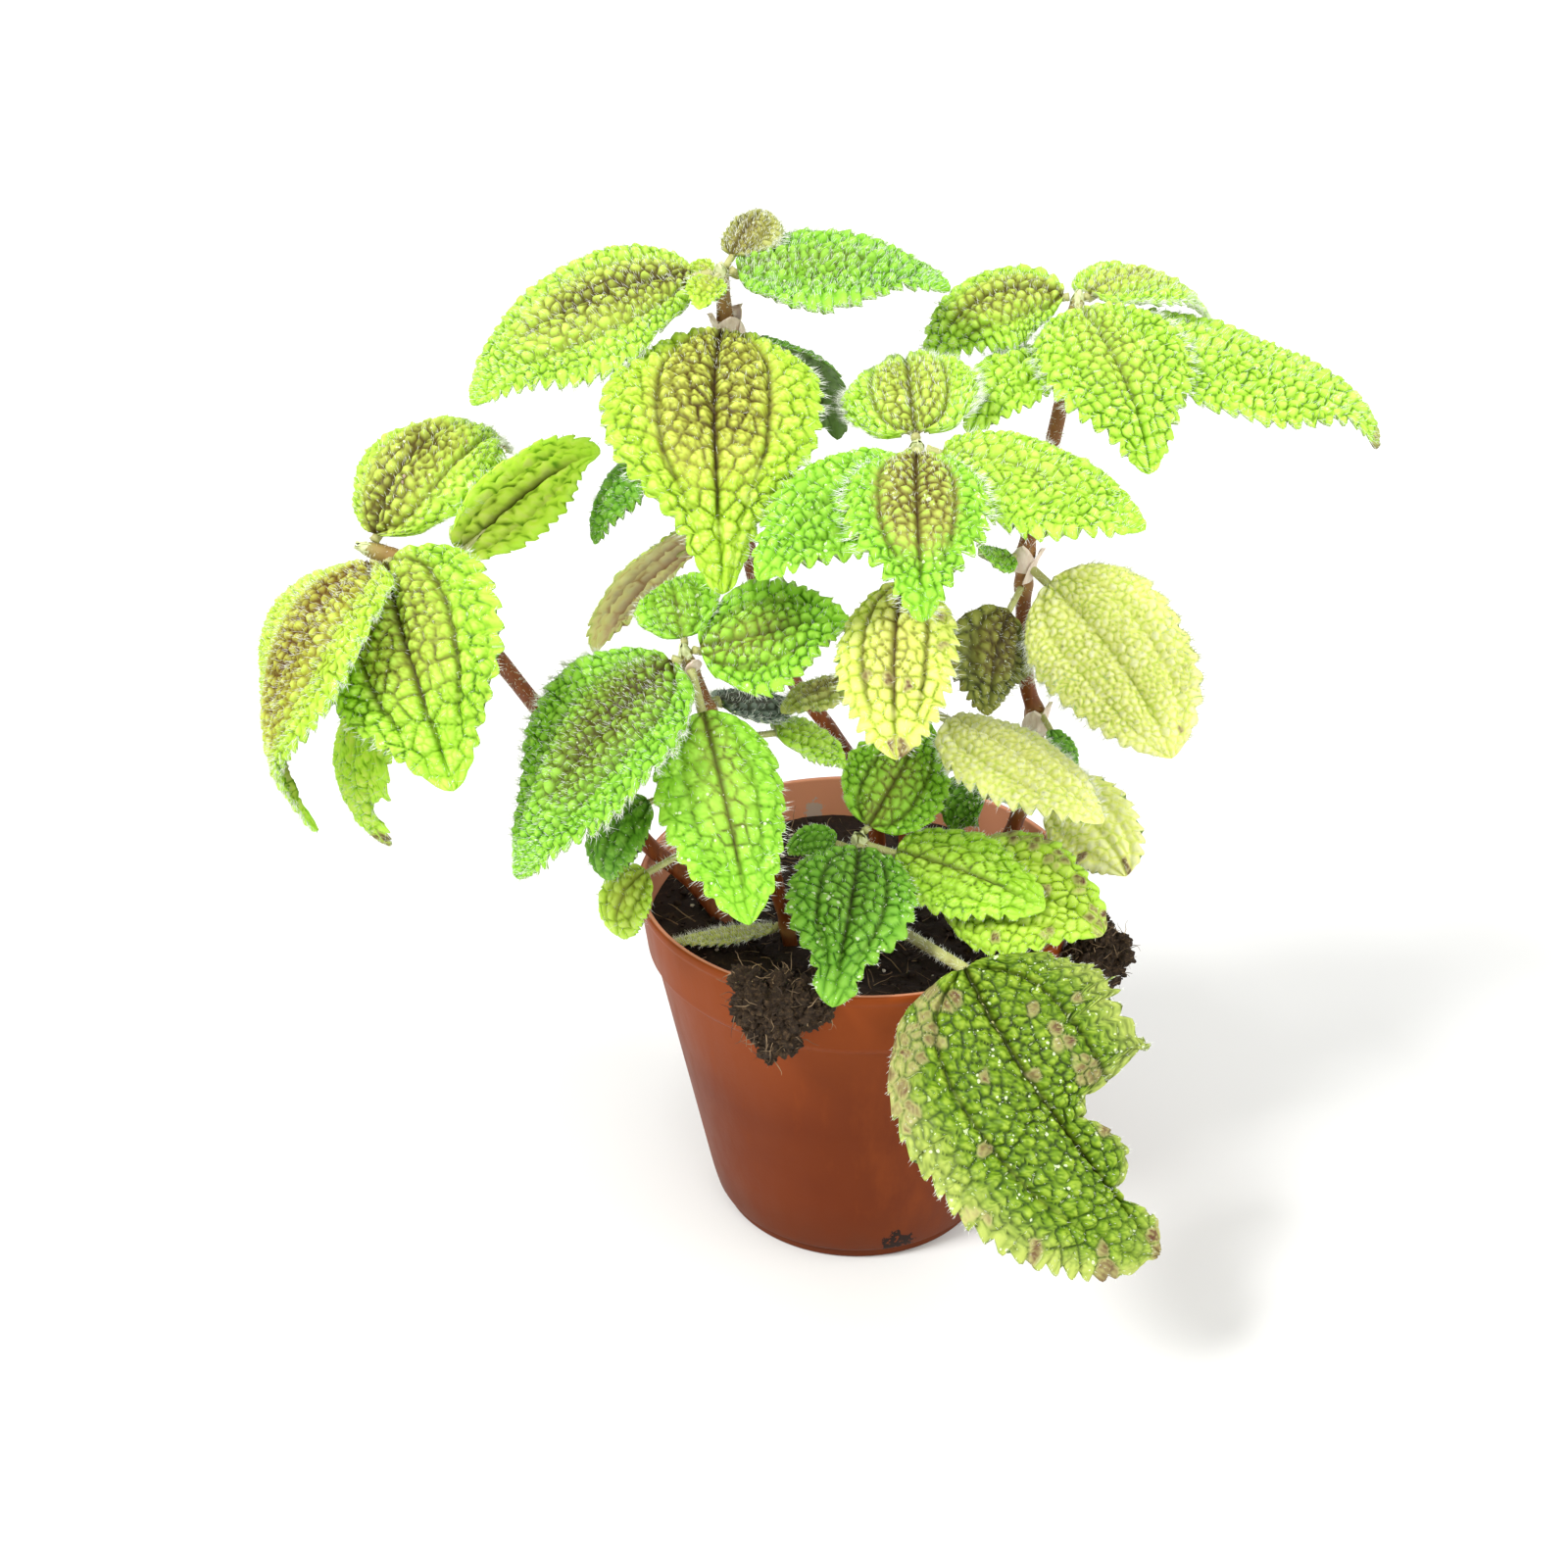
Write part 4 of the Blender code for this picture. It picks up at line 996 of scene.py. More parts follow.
def blade_material(name, tone, glint_size, glow_share):
    """Skin of a blade: soft, slightly waxy leaf tissue with brown veins in the folds. Its colour carries
    painted light: a painted highlight on top of each puffed cell, painted shade in the folds, painted
    glints and a painted glow at the edge. Light comes through it."""
    hollow, flank, painted_crest_highlight, middle, vein, rim, crown = (srgb(code) for code in tone)
    mat, tree, shader = new_material(name, 0.5, Specular_IOR_Level=0.22)
    place = add_node(tree, "TexCoord").outputs["Object"]
    carried = add_node(tree, "Attribute", attribute_name="relief")
    relief = add_node(tree, "SeparateColor", {"Color": carried.outputs["Color"]})
    puff, veins, brown = (relief.outputs[k] for k in range(3))
    spots = carried.outputs["Alpha"]
    # Painted light: the pale edge is a painted glow of light through the thin margin and tip.
    edge = add_node(tree, "Attribute", attribute_name="edge").outputs["Fac"]
    # Painted shade: the folds between the cells take the hollow colour.
    rise = add_node(tree, "MapRange", {"Value": puff, "From Max": 0.55},
                    interpolation_type="SMOOTHSTEP")
    # Clouds of tone 4 mm across, and skin cells, really 0.05 mm, drawn 0.7 mm across to show.
    cloud = add_node(tree, "TexNoise", {"Vector": place, "Scale": 260.0, "Detail": 3.0})
    grain = add_node(tree, "TexNoise", {"Vector": place, "Scale": 1400.0, "Detail": 2.0})
    # Painted highlight: the tops of the cells take the crest colour.
    lit = add_node(tree, "MapRange", {"Value": puff, "From Min": 0.4},
                   interpolation_type="SMOOTHSTEP")
    mottle = add_node(tree, "MapRange", {"Value": cloud.outputs["Fac"], "From Min": 0.3,
                                         "From Max": 0.7, "To Min": 0.45, "To Max": 1.0})
    lit = add_node(tree, "Math", {0: lit.outputs[0], 1: mottle.outputs[0]}, operation="MULTIPLY")
    yellow = add_node(tree, "MapRange", {"Value": brown, "From Max": 0.25, "To Max": 0.55})
    browned = add_node(tree, "MapRange", {"Value": brown, "From Min": 0.12, "From Max": 0.85,
                                          "To Max": 0.9})
    # Painted highlights: pale dots for glints on the skin, one to each 1.6 mm, coarser than the real ones.
    dots = add_node(tree, "TexVoronoi", {"Vector": place, "Scale": 620.0})
    dot_size = add_node(tree, "MapRange", {"Value": cloud.outputs["Fac"], "From Min": 0.45,
                                           "From Max": 0.7, "To Max": glint_size})
    painted_glint = add_node(tree, "Math", {0: dots.outputs["Distance"], 1: dot_size.outputs[0]},
                     operation="LESS_THAN")
    painted_glint = add_node(tree, "Math", {0: painted_glint.outputs[0], 1: 0.8}, operation="MULTIPLY")
    # A dead cell dries to buff at its border and to brown in its heart.
    ring = add_node(tree, "MapRange", {"Value": spots, "From Max": 0.3, "To Max": 0.6})
    heart = add_node(tree, "MapRange", {"Value": spots, "From Min": 0.25, "From Max": 0.7})
    heart = add_node(tree, "Math", {0: heart.outputs[0], 1: mottle.outputs[0]},
                     operation="MULTIPLY")
    base = add_node(tree, "Mix", {0: rise.outputs[0], 6: hollow, 7: flank}, data_type="RGBA")
    for share, colour in (
        (lit.outputs[0], painted_crest_highlight),
        (edge, rim),
        (yellow.outputs[0], crown),
        (browned.outputs[0], middle),
        (veins, vein),
        (painted_glint.outputs[0], srgb("f4ffd8")),
        (ring.outputs[0], srgb("cdbf88")),
        (heart.outputs[0], srgb("6a4030")),
    ):
        base = add_node(tree, "Mix", {0: share, 6: base.outputs[2], 7: colour}, data_type="RGBA")
    tree.links.new(base.outputs[2], shader.inputs["Base Color"])
    gloss = add_node(tree, "MapRange", {"Value": grain.outputs["Fac"], "To Min": 0.3,
                                        "To Max": 0.55})
    tree.links.new(gloss.outputs[0], shader.inputs["Roughness"])
    skin = add_node(tree, "Bump", {"Height": grain.outputs["Fac"], "Strength": 0.5,
                                   "Distance": 0.0003})
    tree.links.new(skin.outputs[0], shader.inputs["Normal"])
    glow = add_node(tree, "BsdfTranslucent", {"Color": base.outputs[2]})
    thin = add_node(tree, "MixShader", {0: glow_share, 1: shader.outputs[0], 2: glow.outputs[0]})
    tree.links.new(thin.outputs[0], tree.nodes["Material Output"].inputs["Surface"])
    return mat


# How large the pale dots of painted glint are, as shares of the room between them, and how much of
# the light on a blade comes through it.
PAINTED_GLINT_SIZES = {"forest": 0.36, "old": 0.34, "fresh": 0.3}
PAINTED_GLINT_SIZE = 0.2
UNDERSIDE_GLINT_SIZE = 0.1
GLOW = 0.3
UNDERSIDE_GLOW = 0.35
THIN_GLOW = 0.6
blade_skins = {tone: blade_material("blade_" + tone, codes, PAINTED_GLINT_SIZES.get(tone, PAINTED_GLINT_SIZE),
                                    THIN_GLOW if tone == "thin" else GLOW)
               for tone, codes in BLADE_TONES.items()}

# Undersides: paler and duller, with the veins standing out. Two of them let more light through.
UNDERSIDE_TONES = {
    "green": ("a9c46a", "cfe0a0", "d9e8ae", "b9a888", "8a6a52", "b4d56a", "c8c090"),
    "lit": ("78ac1c", "e8ff68", "fcffa8", "a8b04c", "42380c", "dcff70", "d0dc60"),
    "pink": ("e4b8a4", "ffe6d0", "fff2e4", "f0c4b0", "b0745c", "d4d88c", "f0ccb4"),
    "dark": ("3f5a26", "6f8f4a", "88a860", "5f6a44", "4a4a2c", "6f9340", "7c8450"),
}
LIGHT_BEHIND = ("lit", "pink")
under_skins = {tone: blade_material("underside_" + tone, codes, UNDERSIDE_GLINT_SIZE,
                                    THIN_GLOW if tone in LIGHT_BEHIND else UNDERSIDE_GLOW)
               for tone, codes in UNDERSIDE_TONES.items()}
UNDERSIDES = {"a1": "lit", "a3": "pink", "a4": "lit", "a5": "lit", "b9": "pink", "d9": "dark", "e8": "dark"}

# Petiole: hairy green flesh, clouded with yellow every 5 mm.
petiole_skin = two_tone("petiole_skin", 0.5, 220.0, 3.0, "8a8044", "c8ce86")


def blade_frame(rings):
    """What a leaf's frame piece says of its blade: its curve, which is the knots along its middle
    line, that line and the ways left and up at each knot, then length, half width and cup."""
    # Name each ring's corners: left edge, left, middle, right, right edge, underneath.
    named = []
    headings = unit(np.gradient(rings.mean(axis=1), axis=0))
    for ring, heading in zip(rings, headings):
        sides = np.linalg.norm(ring - np.roll(ring, -1, axis=0), axis=1)
        under = (sides + np.roll(sides, 1)).argmax()
        ring = np.roll(ring, -under, axis=0)
        if (ring[1] - ring[5]).dot(np.cross(ring[3] - ring[0], heading)) < 0:
            ring = np.vstack([ring[:1], ring[:0:-1]])
        named.append(np.vstack([ring[1:], ring[:1]]))
    small = len(rings) - SMALL_BLADE_RINGS in (1, 2)
    blade = np.array(named)[-(SMALL_BLADE_RINGS if small else BLADE_RINGS):]
    spine = blade[:, 2]
    leap = np.linalg.norm(np.diff(spine, axis=0), axis=1)
    start = 0.05 if small else 0.02
    length = leap.sum() / (1 - start)
    knots = start + np.concatenate([[0.0], np.cumsum(leap)]) / length
    base_spot = spine[0] - unit(spine[1] - spine[0]) * start * length
    lefts = unit(blade[:, 0] - blade[:, 4])
    ups = unit(blade[:, 2] - blade[:, 5])
    chord = np.linalg.norm(blade[:, 0] - blade[:, 4], axis=1) / 2
    sag = np.linalg.norm(blade[:, 2] - (blade[:, 0] + blade[:, 4]) / 2, axis=1)
    widest = chord.argmax()
    cup = 2 * math.atan(sag[widest] / chord[widest])
    half = (chord * cup / math.sin(cup))[widest] / float(half_outline(knots[widest]))
    curve = (np.concatenate([[0.0], knots]), np.vstack([base_spot, spine]),
             np.vstack([lefts[:1], lefts]), np.vstack([ups[:1], ups]))
    return curve, length, half, cup


def blade_grid(leaf):
    """Where the points of the upper skin lie along and across the blade, as shares. The rows are
    closer at the round base, at the tip and by torn places."""
    rows = 2 * max(16, int(leaf.length / BLADE_STEP / 2 * 1.15))
    columns = 2 * max(10, int(2 * leaf.half / BLADE_STEP / 2))
    torn = [(place, 1.8 * long_share, 1.6) for _, place, long_share, _ in BITES.get(leaf.name, [])]
    if leaf.name in EATEN:
        torn = [(place, 0.03, 2.0) for place in COVE_STARTS]
    even = np.linspace(0.0, 1.0, 2001)
    crowd = np.cumsum(np.ones_like(even) + sum(more * np.exp(-((even - place) / reach) ** 2)
                                               for place, reach, more in torn))
    ramp = np.interp(np.linspace(0.0, 1.0, rows + 1), (crowd - crowd[0]) / (crowd[-1] - crowd[0]),
                     even)
    s = ramp - 0.06 * np.sin(2 * math.pi * ramp) / math.pi * (1 + 0.6 * (1 - ramp))
    return np.meshgrid(0.004 + 0.996 * s, np.linspace(-1.0, 1.0, columns + 1), indexing="ij")


def blade_outline(leaf):
    """The blade laid flat, in mm: how far across and along each point lies, and the half width
    there without its teeth and with them. Teeth point forward, and old edges are bitten and torn."""
    s, t = leaf.s, leaf.t
    scalloped = leaf.name in ROUND_TEETH
    pitch = min(max(1.6, 0.09 * leaf.length), 4.2) * (1.25 if scalloped else 1.0)
    drawn_out = TAPERS.get(leaf.name, 0.14) * step_up(0.55, 0.84, s) * (1 - step_up(0.94, 1.0, s))
    reach = leaf.half * half_outline(s) * (1 - drawn_out)
    for side, place, long_share, more in FULLER.get(leaf.name, []):
        fuller = 1 + more * np.exp(-((s - place) / long_share) ** 2)
        reach = np.where(t * side > 0, reach * fuller, reach)
    lag = np.where(t > 0, 0.0, 0.45)
    beat = ((s * leaf.length - SLANT * 0.8 * reach) / pitch + lag + 40) % 1.0
    tooth = np.abs(np.sin(math.pi * beat ** 1.5)) ** 0.7
    deep = (0.32 if scalloped else 0.5) * pitch
    deep = deep * step_up(0.03, 0.12, s) * (1 - step_up(0.8, 0.96, s))
    deep *= 1 + 0.25 * np.sin(s * 37 + t.astype(int) * 2)
    width = np.maximum(reach - deep * (1 - tooth), np.minimum(reach, 0.12))
    hooked = np.zeros_like(s)
    for side, place, long_share, depth in BITES.get(leaf.name, []):
        notch = np.exp(-(np.abs(s - place) / long_share) ** 3) * (1 + 0.12 * np.sin(s * 190))
        width = np.where(t * side > 0, width * (1 - depth * notch), width)
        hook = np.exp(-((s - place + 1.6 * long_share) / long_share) ** 2)
        hooked += np.where(t * side > 0, depth * hook * np.abs(t) ** 2, 0) * long_share * leaf.length
    if leaf.name in EATEN:
        left = np.interp(s, *zip(*EATEN[leaf.name])) * (1 + 0.05 * np.sin(s * 150))
        width = np.where(t > 0, width * left, width)
    if leaf.name in HOOKS:
        side, place, long_share, drop = HOOKS[leaf.name]
        hook = np.exp(-((s - place) / long_share) ** 2)
        hooked += np.where(t * side > 0, hook * np.abs(t) ** 3 * drop, 0)
    forward = (0.2 if scalloped else 0.5) * pitch * tooth * np.abs(t) ** 6
    y = s * leaf.length + forward * step_up(0.03, 0.1, s) * (1 - step_up(0.85, 0.97, s))
    y = np.clip(y + 1.1 * hooked, 0.25 * y, leaf.length)
    return t * width, y, reach, width


def cells_over(leaf, size, rng):
    """Quilted cells of one size: their middles, and for each point of the blade how far it lies
    from its cell's border, and which cell it is in."""
    middles = cell_middles(leaf.length, leaf.half, size, rng)
    far, mine = cell_edge(leaf.x.ravel(), leaf.y.ravel(), middles)
    return middles, far.reshape(leaf.x.shape), mine.reshape(leaf.x.shape)


def blade_relief(leaf, rng):
    """How high each point of the upper skin stands in mm, and what makes it so: puffed cells with
    smaller puffs on them, sunk veins, an arch between the veins, and a sway towards the edge."""
    s, t, x, reach, cell = leaf.s, leaf.t, leaf.x, leaf.reach, leaf.cell
    middles, edge_far, mine = cells_over(leaf, cell, rng)
    lean = (np.abs(x) - np.abs(middles[mine, 0])) * 0.5 + (leaf.y - middles[mine, 1]) * 0.7
    fullness = rng.uniform(0.7, 1.15, len(middles))[mine] * (1 + 0.55 * lean / cell)
    swollen = (1 - (1 - np.clip(edge_far / (0.45 * cell), 0, 1)) ** 2) ** 0.8 * fullness
    fine_far, fine_swell = edge_far, swollen
    if cell > COARSE_CELL:
        _, fine_far, _ = cells_over(leaf, cell * FINE_CELL, rng)
        fine_swell = 1 - (1 - np.clip(fine_far / (0.23 * cell), 0, 1)) ** 2
    calm = 1 - 0.55 * step_up(0.68, 0.98, s)
    lateral = LATERAL * reach * (1 - np.exp(-s / 0.035))
    from_rib = np.abs(x)
    from_lateral = np.abs(from_rib - lateral)
    rib_size = min(0.9 + 0.012 * leaf.length, 1.7) * (0.6 if leaf.tone == "old" else 1.0)
    rib = np.exp(-(from_rib / (rib_size * (1.15 - 0.75 * s))) ** 2) * (1 - step_up(0.8, 1.0, s))
    side_vein = np.exp(-(from_lateral / (0.75 * rib_size * (1.1 - 0.8 * s))) ** 2)
    side_vein *= (1 - step_up(0.55, 0.85, s)) * step_up(0.0, 0.04, s)
    inner = 1 - (2 * from_rib / np.maximum(lateral, 0.1) - 1) ** 2
    outer = 1 - (2 * (from_rib - lateral) / np.maximum(reach - lateral, 0.1) - 1) ** 2
    pillow = np.clip(np.where(from_rib < lateral, inner, 0.8 * outer), 0, 1) * calm
    height = 1.2 * leaf.puff * calm * (0.75 * swollen + 0.3 * fine_swell * swollen ** 0.5)
    height *= 1 - 0.5 * step_up(0.85, 1.0, np.abs(t))
    height += 0.055 * leaf.half * pillow
    height -= leaf.puff * (0.75 * rib * step_up(0.0, 0.15, s) + 0.5 * side_vein)
    sway = sum(rng.normal() * np.sin(s * math.pi * k + rng.uniform(0, 6) + 1.3 * t * (k % 2))
               for k in (2, 3, 5))
    sway *= np.abs(t) ** 1.5 * step_up(0, 0.2, s) * (1 - step_up(0.8, 1, s))
    height += 0.016 * leaf.half * sway
    blunt = np.minimum(1.0, reach / 2.0)
    ridge = (0.75 * rib + 0.45 * side_vein + 0.12 * np.exp(-(edge_far / 0.4) ** 2)) * blunt
    return SimpleNamespace(
        height=height * blunt, ridge=ridge, middles=middles, mine=mine, edge_far=edge_far,
        fine_far=fine_far, swollen=swollen, fine_swell=fine_swell, calm=calm,
        from_rib=from_rib, from_lateral=from_lateral,
    )


def over_blade(leaf, part, lift):
    """Points of a skin over the leaf's own curve, lifted off it by so much, and the way up there."""
    knots, spine, lefts, ups = leaf.curve
    at = (leaf.y[part] / leaf.length).ravel()
    left = unit(flow(knots, lefts, at))
    up = unit(flow(knots, ups, at))
    local = leaf.half * np.maximum(half_outline(leaf.s[part]).ravel(), 0.02)
    turn = leaf.cup * np.clip(leaf.x[part].ravel() / local, -1.6, 1.6)
    aside = local * np.sin(turn) / leaf.cup
    fall = local * (1 - np.cos(turn)) / leaf.cup
    normal = up * np.cos(turn)[:, None] + left * np.sin(turn)[:, None]
    points = flow(knots, spine, at) + left * aside[:, None] - up * fall[:, None]
    return points + normal * lift.ravel()[:, None], normal


def skin_faces(rows, columns):
    """Faces of a blade's upper skin, and those of its lower skin, which has every other row and
    column, with the rim that joins the two."""
    upper = np.arange((rows + 1) * (columns + 1)).reshape(rows + 1, columns + 1)
    lower = upper.size + np.arange((rows // 2 + 1) * (columns // 2 + 1))
    lower = lower.reshape(rows // 2 + 1, columns // 2 + 1)
    top = np.stack([upper[:-1, :-1], upper[1:, :-1], upper[1:, 1:], upper[:-1, 1:]], axis=-1)
    back = np.stack([lower[:-1, :-1], lower[:-1, 1:], lower[1:, 1:], lower[1:, :-1]], axis=-1)
    back = back.reshape(-1, 4).tolist()
    for fine, coarse, flip in (
        (upper[:, 0], lower[:, 0], False),
        (upper[:, -1], lower[:, -1], True),
        (upper[0], lower[0], True),
        (upper[-1], lower[-1], False),
    ):
        for k in range(len(coarse) - 1):
            a, b, c = fine[2 * k:2 * k + 3].tolist()
            d, e = coarse[k:k + 2].tolist()
            for corner in ((a, d, b), (b, d, e), (b, e, c)):
                back.append(corner[::-1] if flip else corner)
    return top.reshape(-1, 4).tolist(), back


def petiole_tube(leaf, first):
    """The petiole, which runs on under the blade as its midrib: points and faces numbered from
    first, then the route, its thickness, and the ways along and to two sides."""
    knots, spine, _, ups = leaf.curve
    shares, drops = np.array([0.04, 0.1, 0.17, 0.24]), (1.15, 1.2, 1.1, 0.9)
    join = spine[0] - ups[0] * 0.7
    steps = max(2, int(np.linalg.norm(join - leaf.root) / 1.5))
    route = [leaf.root + unit(leaf.root - join) * 0.7]
    route += [leaf.root + (join - leaf.root) * k / steps for k in range(steps + 1)]
    route += [spot - up * drop for spot, up, drop in
              zip(flow(knots, spine, shares), unit(flow(knots, ups, shares)), drops)]
    route = np.array(route)
    girth = np.full(len(route), 0.85 + 0.65 * float(step_up(20, 90, leaf.length)))
    girth[0] *= 1.1
    girth[-4:] *= (0.72, 0.58, 0.45, 0.25)
    along = unit(np.gradient(route, axis=0))
    aside = unit(np.cross(along, ups[0]))
    other = np.cross(along, aside)
    turns = np.arange(PETIOLE_SIDES) / PETIOLE_SIDES * math.tau
    tube = route[:, None] + girth[:, None, None] * (np.cos(turns)[None, :, None] * aside[:, None]
                                                    + np.sin(turns)[None, :, None] * other[:, None])
    faces = tube_faces(first, len(route), PETIOLE_SIDES)
    return tube.reshape(-1, 3), faces, route, girth, along, aside, other


def blade_hairs(leaf, top, normals, first, rng):
    """Soft white hairs over the upper skin, thickest round the edge."""
    knots, spine, lefts, _ = leaf.curve
    rows, columns = leaf.s.shape
    fuzzy = leaf.hairiness >= 0.7
    count = int(1.3 * leaf.half * leaf.length * leaf.hairiness * (1.3 if fuzzy else 1.1))
    row = rng.integers(1, rows - 2, count * 2)
    column = rng.integers(0, columns, count * 2)
    column = np.where(rng.random(count * 2) < (0.42 if fuzzy else 0.3),
                      rng.choice([0, 1, columns - 2, columns - 1], count * 2), column)
    keep = rng.random(count * 2) < leaf.width[row, column] / leaf.half + 0.1
    row, column = row[keep][:count], column[keep][:count]
    spot = row * columns + column
    s, t = leaf.s[row, column], leaf.t[row, column]
    forward = unit(flow(knots, np.gradient(spine, knots, axis=0), s))
    outward = np.sign(t)[:, None] * unit(flow(knots, lefts, s))
    at_edge = step_up(0.85, 1.0, np.abs(t))[:, None]
    ways = unit(normals[spot] * (1 - 0.7 * at_edge) + outward * at_edge + 0.3 * forward
                + 0.33 * rng.normal(size=(len(spot), 3)))
    longest = 1.2 + 1.2 * min(1.0, leaf.length / 45)
    longest *= (1 + (0.5 if fuzzy else 0.2) * at_edge[:, 0]) * (0.5 if leaf.name[0] == "f" else 1.0)
    return spikes(top[spot] - 0.05 * normals[spot], ways,
                  rng.uniform(0.45, 1.0, len(spot)) * longest, BLADE_HAIR_RADIUS, first)


def blade_maps(leaf, relief, rng):
    """What the skins' materials read at each point: painted light and shade over the puffed cells,
    veins, brown middle, dead cells, and the pale edge, a painted glow of light through the margin."""
    s, t, x, y = leaf.s, leaf.t, leaf.x, leaf.y
    crease = np.exp(-(relief.edge_far / 0.3) ** 2)
    crease *= rng.uniform(0.35, 1.0, len(relief.middles))[relief.mine]
    painted_fold_shade = np.maximum(crease, 0.4 * np.exp(-(relief.fine_far / 0.25) ** 2))
    # Painted light and shade: each cell is painted light on top and dark in its creases.
    cell_light = rng.uniform(0.55, 1.25, len(relief.middles))[relief.mine]
    puffed = np.minimum(relief.swollen, 1.0) * (0.4 + 0.6 * relief.fine_swell) * cell_light
    puffed = 0.5 + 0.55 * puffed - min(0.85, 0.3 + 0.45 * leaf.puff) * relief.calm * painted_fold_shade
    puffed = np.clip(puffed, 0, 1)

    framed = leaf.name in FRAMED
    zone = np.exp(-(np.abs(t) / 0.55) ** 6 if framed else -(np.abs(t) / 0.42) ** 2)
    zone = zone * (1 - step_up(0.42, 0.8, s))
    in_folds = (1 - np.clip(relief.swollen * relief.fine_swell, 0, 1)) ** 1.6
    browned = leaf.brown * zone * ((0.08 if leaf.cell > COARSE_CELL else 0.15) + 0.85 * in_folds)
    browned = np.minimum(browned, 0.9)

    veins = np.exp(-(relief.from_rib / (0.5 + 0.35 * (1 - s))) ** 2) * (1 - step_up(0.6, 0.95, s))
    side_line = np.exp(-(relief.from_lateral / 0.62) ** 2)
    side_line *= (1 - step_up(0.55, 0.85, s)) * step_up(0.0, 0.04, s)
    veins = np.maximum(veins, (0.25 if leaf.name in ONE_VEINED else 0.8) * side_line)
    veins = leaf.darkness * np.maximum(veins, zone * crease)

    dead = np.zeros(len(relief.middles))
    for along_share, across_share, size in SPOTS.get(leaf.name, []):
        middle_x = across_share * leaf.half * float(half_outline(along_share))
        away = np.hypot(relief.middles[:, 0] - middle_x,
                        relief.middles[:, 1] - along_share * leaf.length)
        dead[away.argmin()] = 0.9
        dead = np.where(away < size, np.maximum(dead, rng.uniform(0.35, 1.0, len(away))), dead)
    ragged = 1 + 0.3 * np.sin(7.3 * x + 2.1 * y) * np.sin(5.1 * y - 1.7 * x)
    mottle = 0.72 + 0.28 * np.sin(3.1 * x + 1.3 * y + relief.mine) * np.sin(2.7 * y - 1.9 * x)
    inward = np.clip(1.5 * ragged * relief.edge_far / (0.42 * leaf.cell), 0, 1)
    spots = dead[relief.mine] * mottle * inward

    # Painted light: the pale edge and tip stand for light coming through the thin margin, and follow the
    # painted light of the cells.
    edge = step_up(0.6 if leaf.name in PALE_EDGED else 0.78, 1.0, np.abs(t))
    edge = edge * step_up(0.0, 0.15, s) * 0.75 + 0.4 * step_up(0.8, 1, s)
    return puffed, veins, browned, spots, edge * (0.35 + 0.65 * puffed)


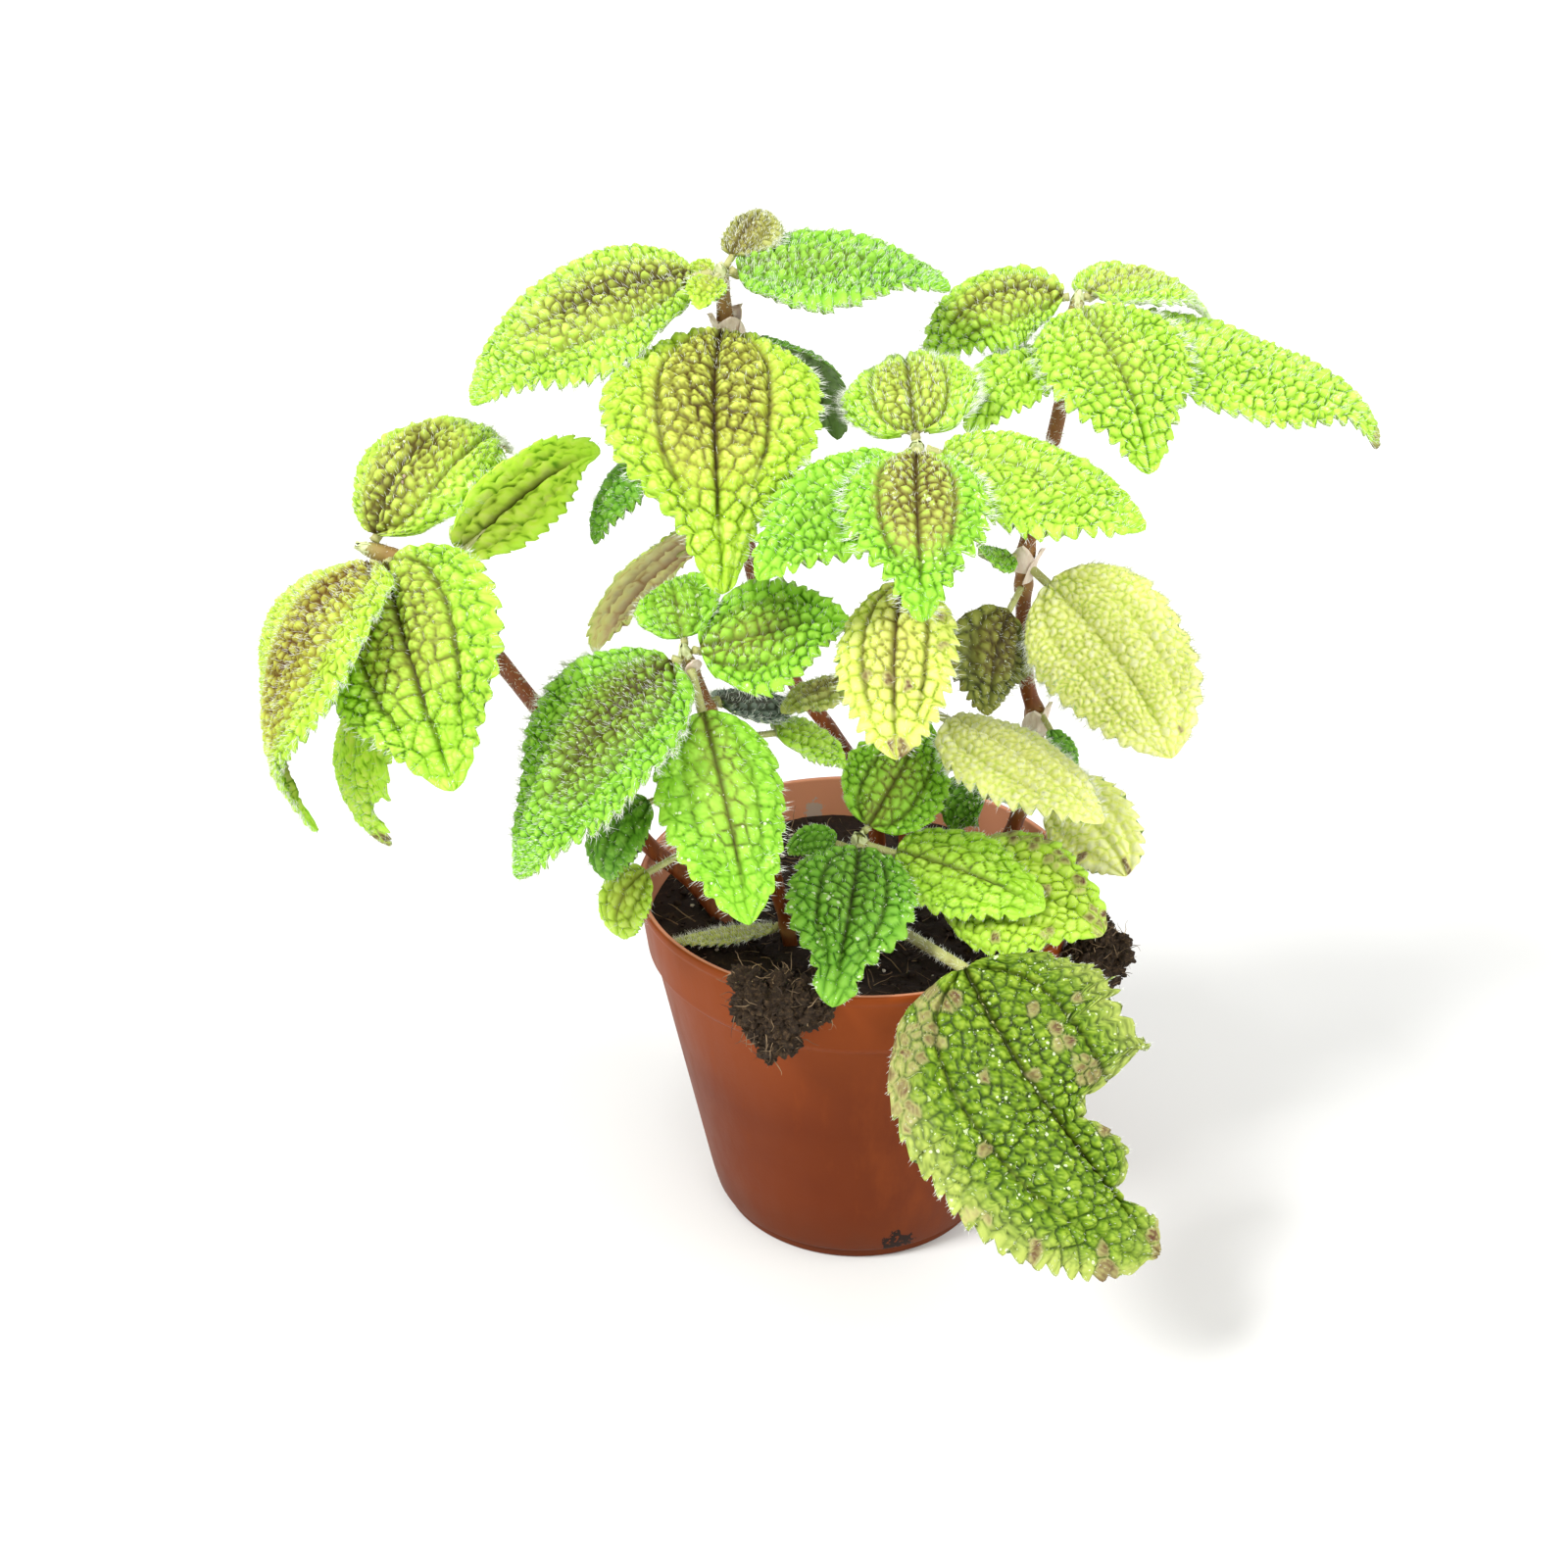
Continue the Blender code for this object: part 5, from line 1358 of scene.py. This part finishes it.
for node in leaf_nodes:
    rng = np.random.default_rng(sum(ord(mark) * 31 ** k for k, mark in enumerate(node)) % 99991)
    leaf = SimpleNamespace(name=node[len("leaf_"):], root=leaf_roots[node])
    (leaf.tone, leaf.cell, leaf.puff, leaf.brown, leaf.darkness,
     leaf.hairiness) = LEAF_LOOKS[leaf.name]
    leaf.curve, leaf.length, leaf.half, leaf.cup = blade_frame(leaf_rings[node])
    leaf.s, leaf.t = blade_grid(leaf)
    leaf.x, leaf.y, leaf.reach, leaf.width = blade_outline(leaf)
    relief = blade_relief(leaf, rng)

    # The blade is a closed skin: the puffed upper side, and below it the hollow lower side with the
    # veins standing out.
    every_other = (slice(None, None, 2), slice(None, None, 2))
    thick = (0.28 + 0.3 * (1 - np.abs(leaf.t) ** 2)) * np.minimum(1.0, 0.35 + leaf.reach / 3)
    below = relief.height * 0.9 - thick - relief.ridge
    top, normals = over_blade(leaf, (slice(None), slice(None)), relief.height)
    bottom, _ = over_blade(leaf, every_other, below[every_other])
    upper, lower = skin_faces(leaf.s.shape[0] - 1, leaf.s.shape[1] - 1)
    points = np.vstack([top, bottom])
    tube, petiole_faces, route, girth, along, aside, other = petiole_tube(leaf, len(points))
    points = np.vstack([points, tube])

    # Hairs over the blade, then shorter ones round the petiole.
    hair, hair_faces = blade_hairs(leaf, top, normals, len(points), rng)
    points = np.vstack([points, hair])
    stalk = rng.integers(1, len(route) - 3, HAIRS_PER_RING * (len(route) - 6))
    turn = rng.uniform(0, math.tau, len(stalk))
    out = np.cos(turn)[:, None] * aside[stalk] + np.sin(turn)[:, None] * other[stalk]
    shift = along[stalk] * rng.uniform(-0.7, 0.7, len(stalk))[:, None]
    stubble, stubble_faces = spikes(route[stalk] + out * girth[stalk][:, None] * 0.9 + shift,
                                    unit(out + 0.3 * rng.normal(size=out.shape)),
                                    rng.uniform(0.8, 1.8, len(stalk)), HAIR_RADIUS, len(points))
    points = np.vstack([points, stubble])
    groups = (upper, lower, petiole_faces, hair_faces + stubble_faces)
    faces = [face for group in groups for face in group]
    slots = [slot for slot, group in enumerate(groups) for _ in group]
    under = under_skins[UNDERSIDES.get(leaf.name, "dark" if leaf.tone == "forest" else "green")]
    piece = make_piece("pilea_" + node, points, faces,
                       [blade_skins[leaf.tone], under, petiole_skin, plant_hair], slots, sharp=None)

    carried = np.zeros((len(points), 5), np.float32)
    for channel, values in enumerate(blade_maps(leaf, relief, rng)):
        both = np.concatenate([values.ravel(), values[every_other].ravel()])
        carried[:len(both), channel] = both
    held = piece.data.attributes.new("relief", "FLOAT_COLOR", "POINT")
    held.data.foreach_set("color", carried[:, :4].ravel())
    held = piece.data.attributes.new("edge", "FLOAT", "POINT")
    held.data.foreach_set("value", carried[:, 4].copy())
    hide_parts(node)


# ---- Studio --------------------------------------------------------------------------------------
# A plain pale floor that runs far back, one broad soft lamp over the left shoulder, a weaker one on
# the right, and even light from all round.
floor_mesh = bpy.data.meshes.new("studio_floor")
floor_mesh.from_pydata([(-8, -3, 0), (8, -3, 0), (8, 12, 0), (-8, 12, 0)], [], [(0, 1, 2, 3)])
floor = bpy.data.objects.new("studio_floor", floor_mesh)
bpy.context.scene.collection.objects.link(floor)
paper, tree, shader = new_material("pale_studio_paper", 0.9, Base_Color=srgb("dededc"))
floor_mesh.materials.append(paper)

for name, pitch, turn, spread, power in (
    ("key", 43.0, -55.0, 16.0, 2.8),
    ("fill", 50.0, 50.0, 60.0, 1.75),
):
    lamp = bpy.data.lights.new(name, "SUN")
    lamp.angle = math.radians(spread)
    lamp.energy = power
    lamp_object = bpy.data.objects.new(name, lamp)
    lamp_object.rotation_euler = (math.radians(pitch), 0.0, math.radians(turn))
    bpy.context.scene.collection.objects.link(lamp_object)

world = bpy.data.worlds.new("studio_air")
world.use_nodes = True
world.node_tree.nodes["Background"].inputs["Color"].default_value = (1.0, 1.0, 1.0, 1.0)
world.node_tree.nodes["Background"].inputs["Strength"].default_value = 0.86
bpy.context.scene.world = world
bpy.context.scene.view_settings.view_transform = "Standard"

# The camera looks a little down on the plant, from in front of the pot.
lens = bpy.data.cameras.new("camera")
lens.lens = 45.0
lens.sensor_width = 36.0
camera = bpy.data.objects.new("camera", lens)
camera.location = (-0.0202, -0.4602, 0.3655)
camera.rotation_euler = (math.radians(62.7), 0.0, 0.0)
bpy.context.scene.collection.objects.link(camera)
bpy.context.scene.camera = camera
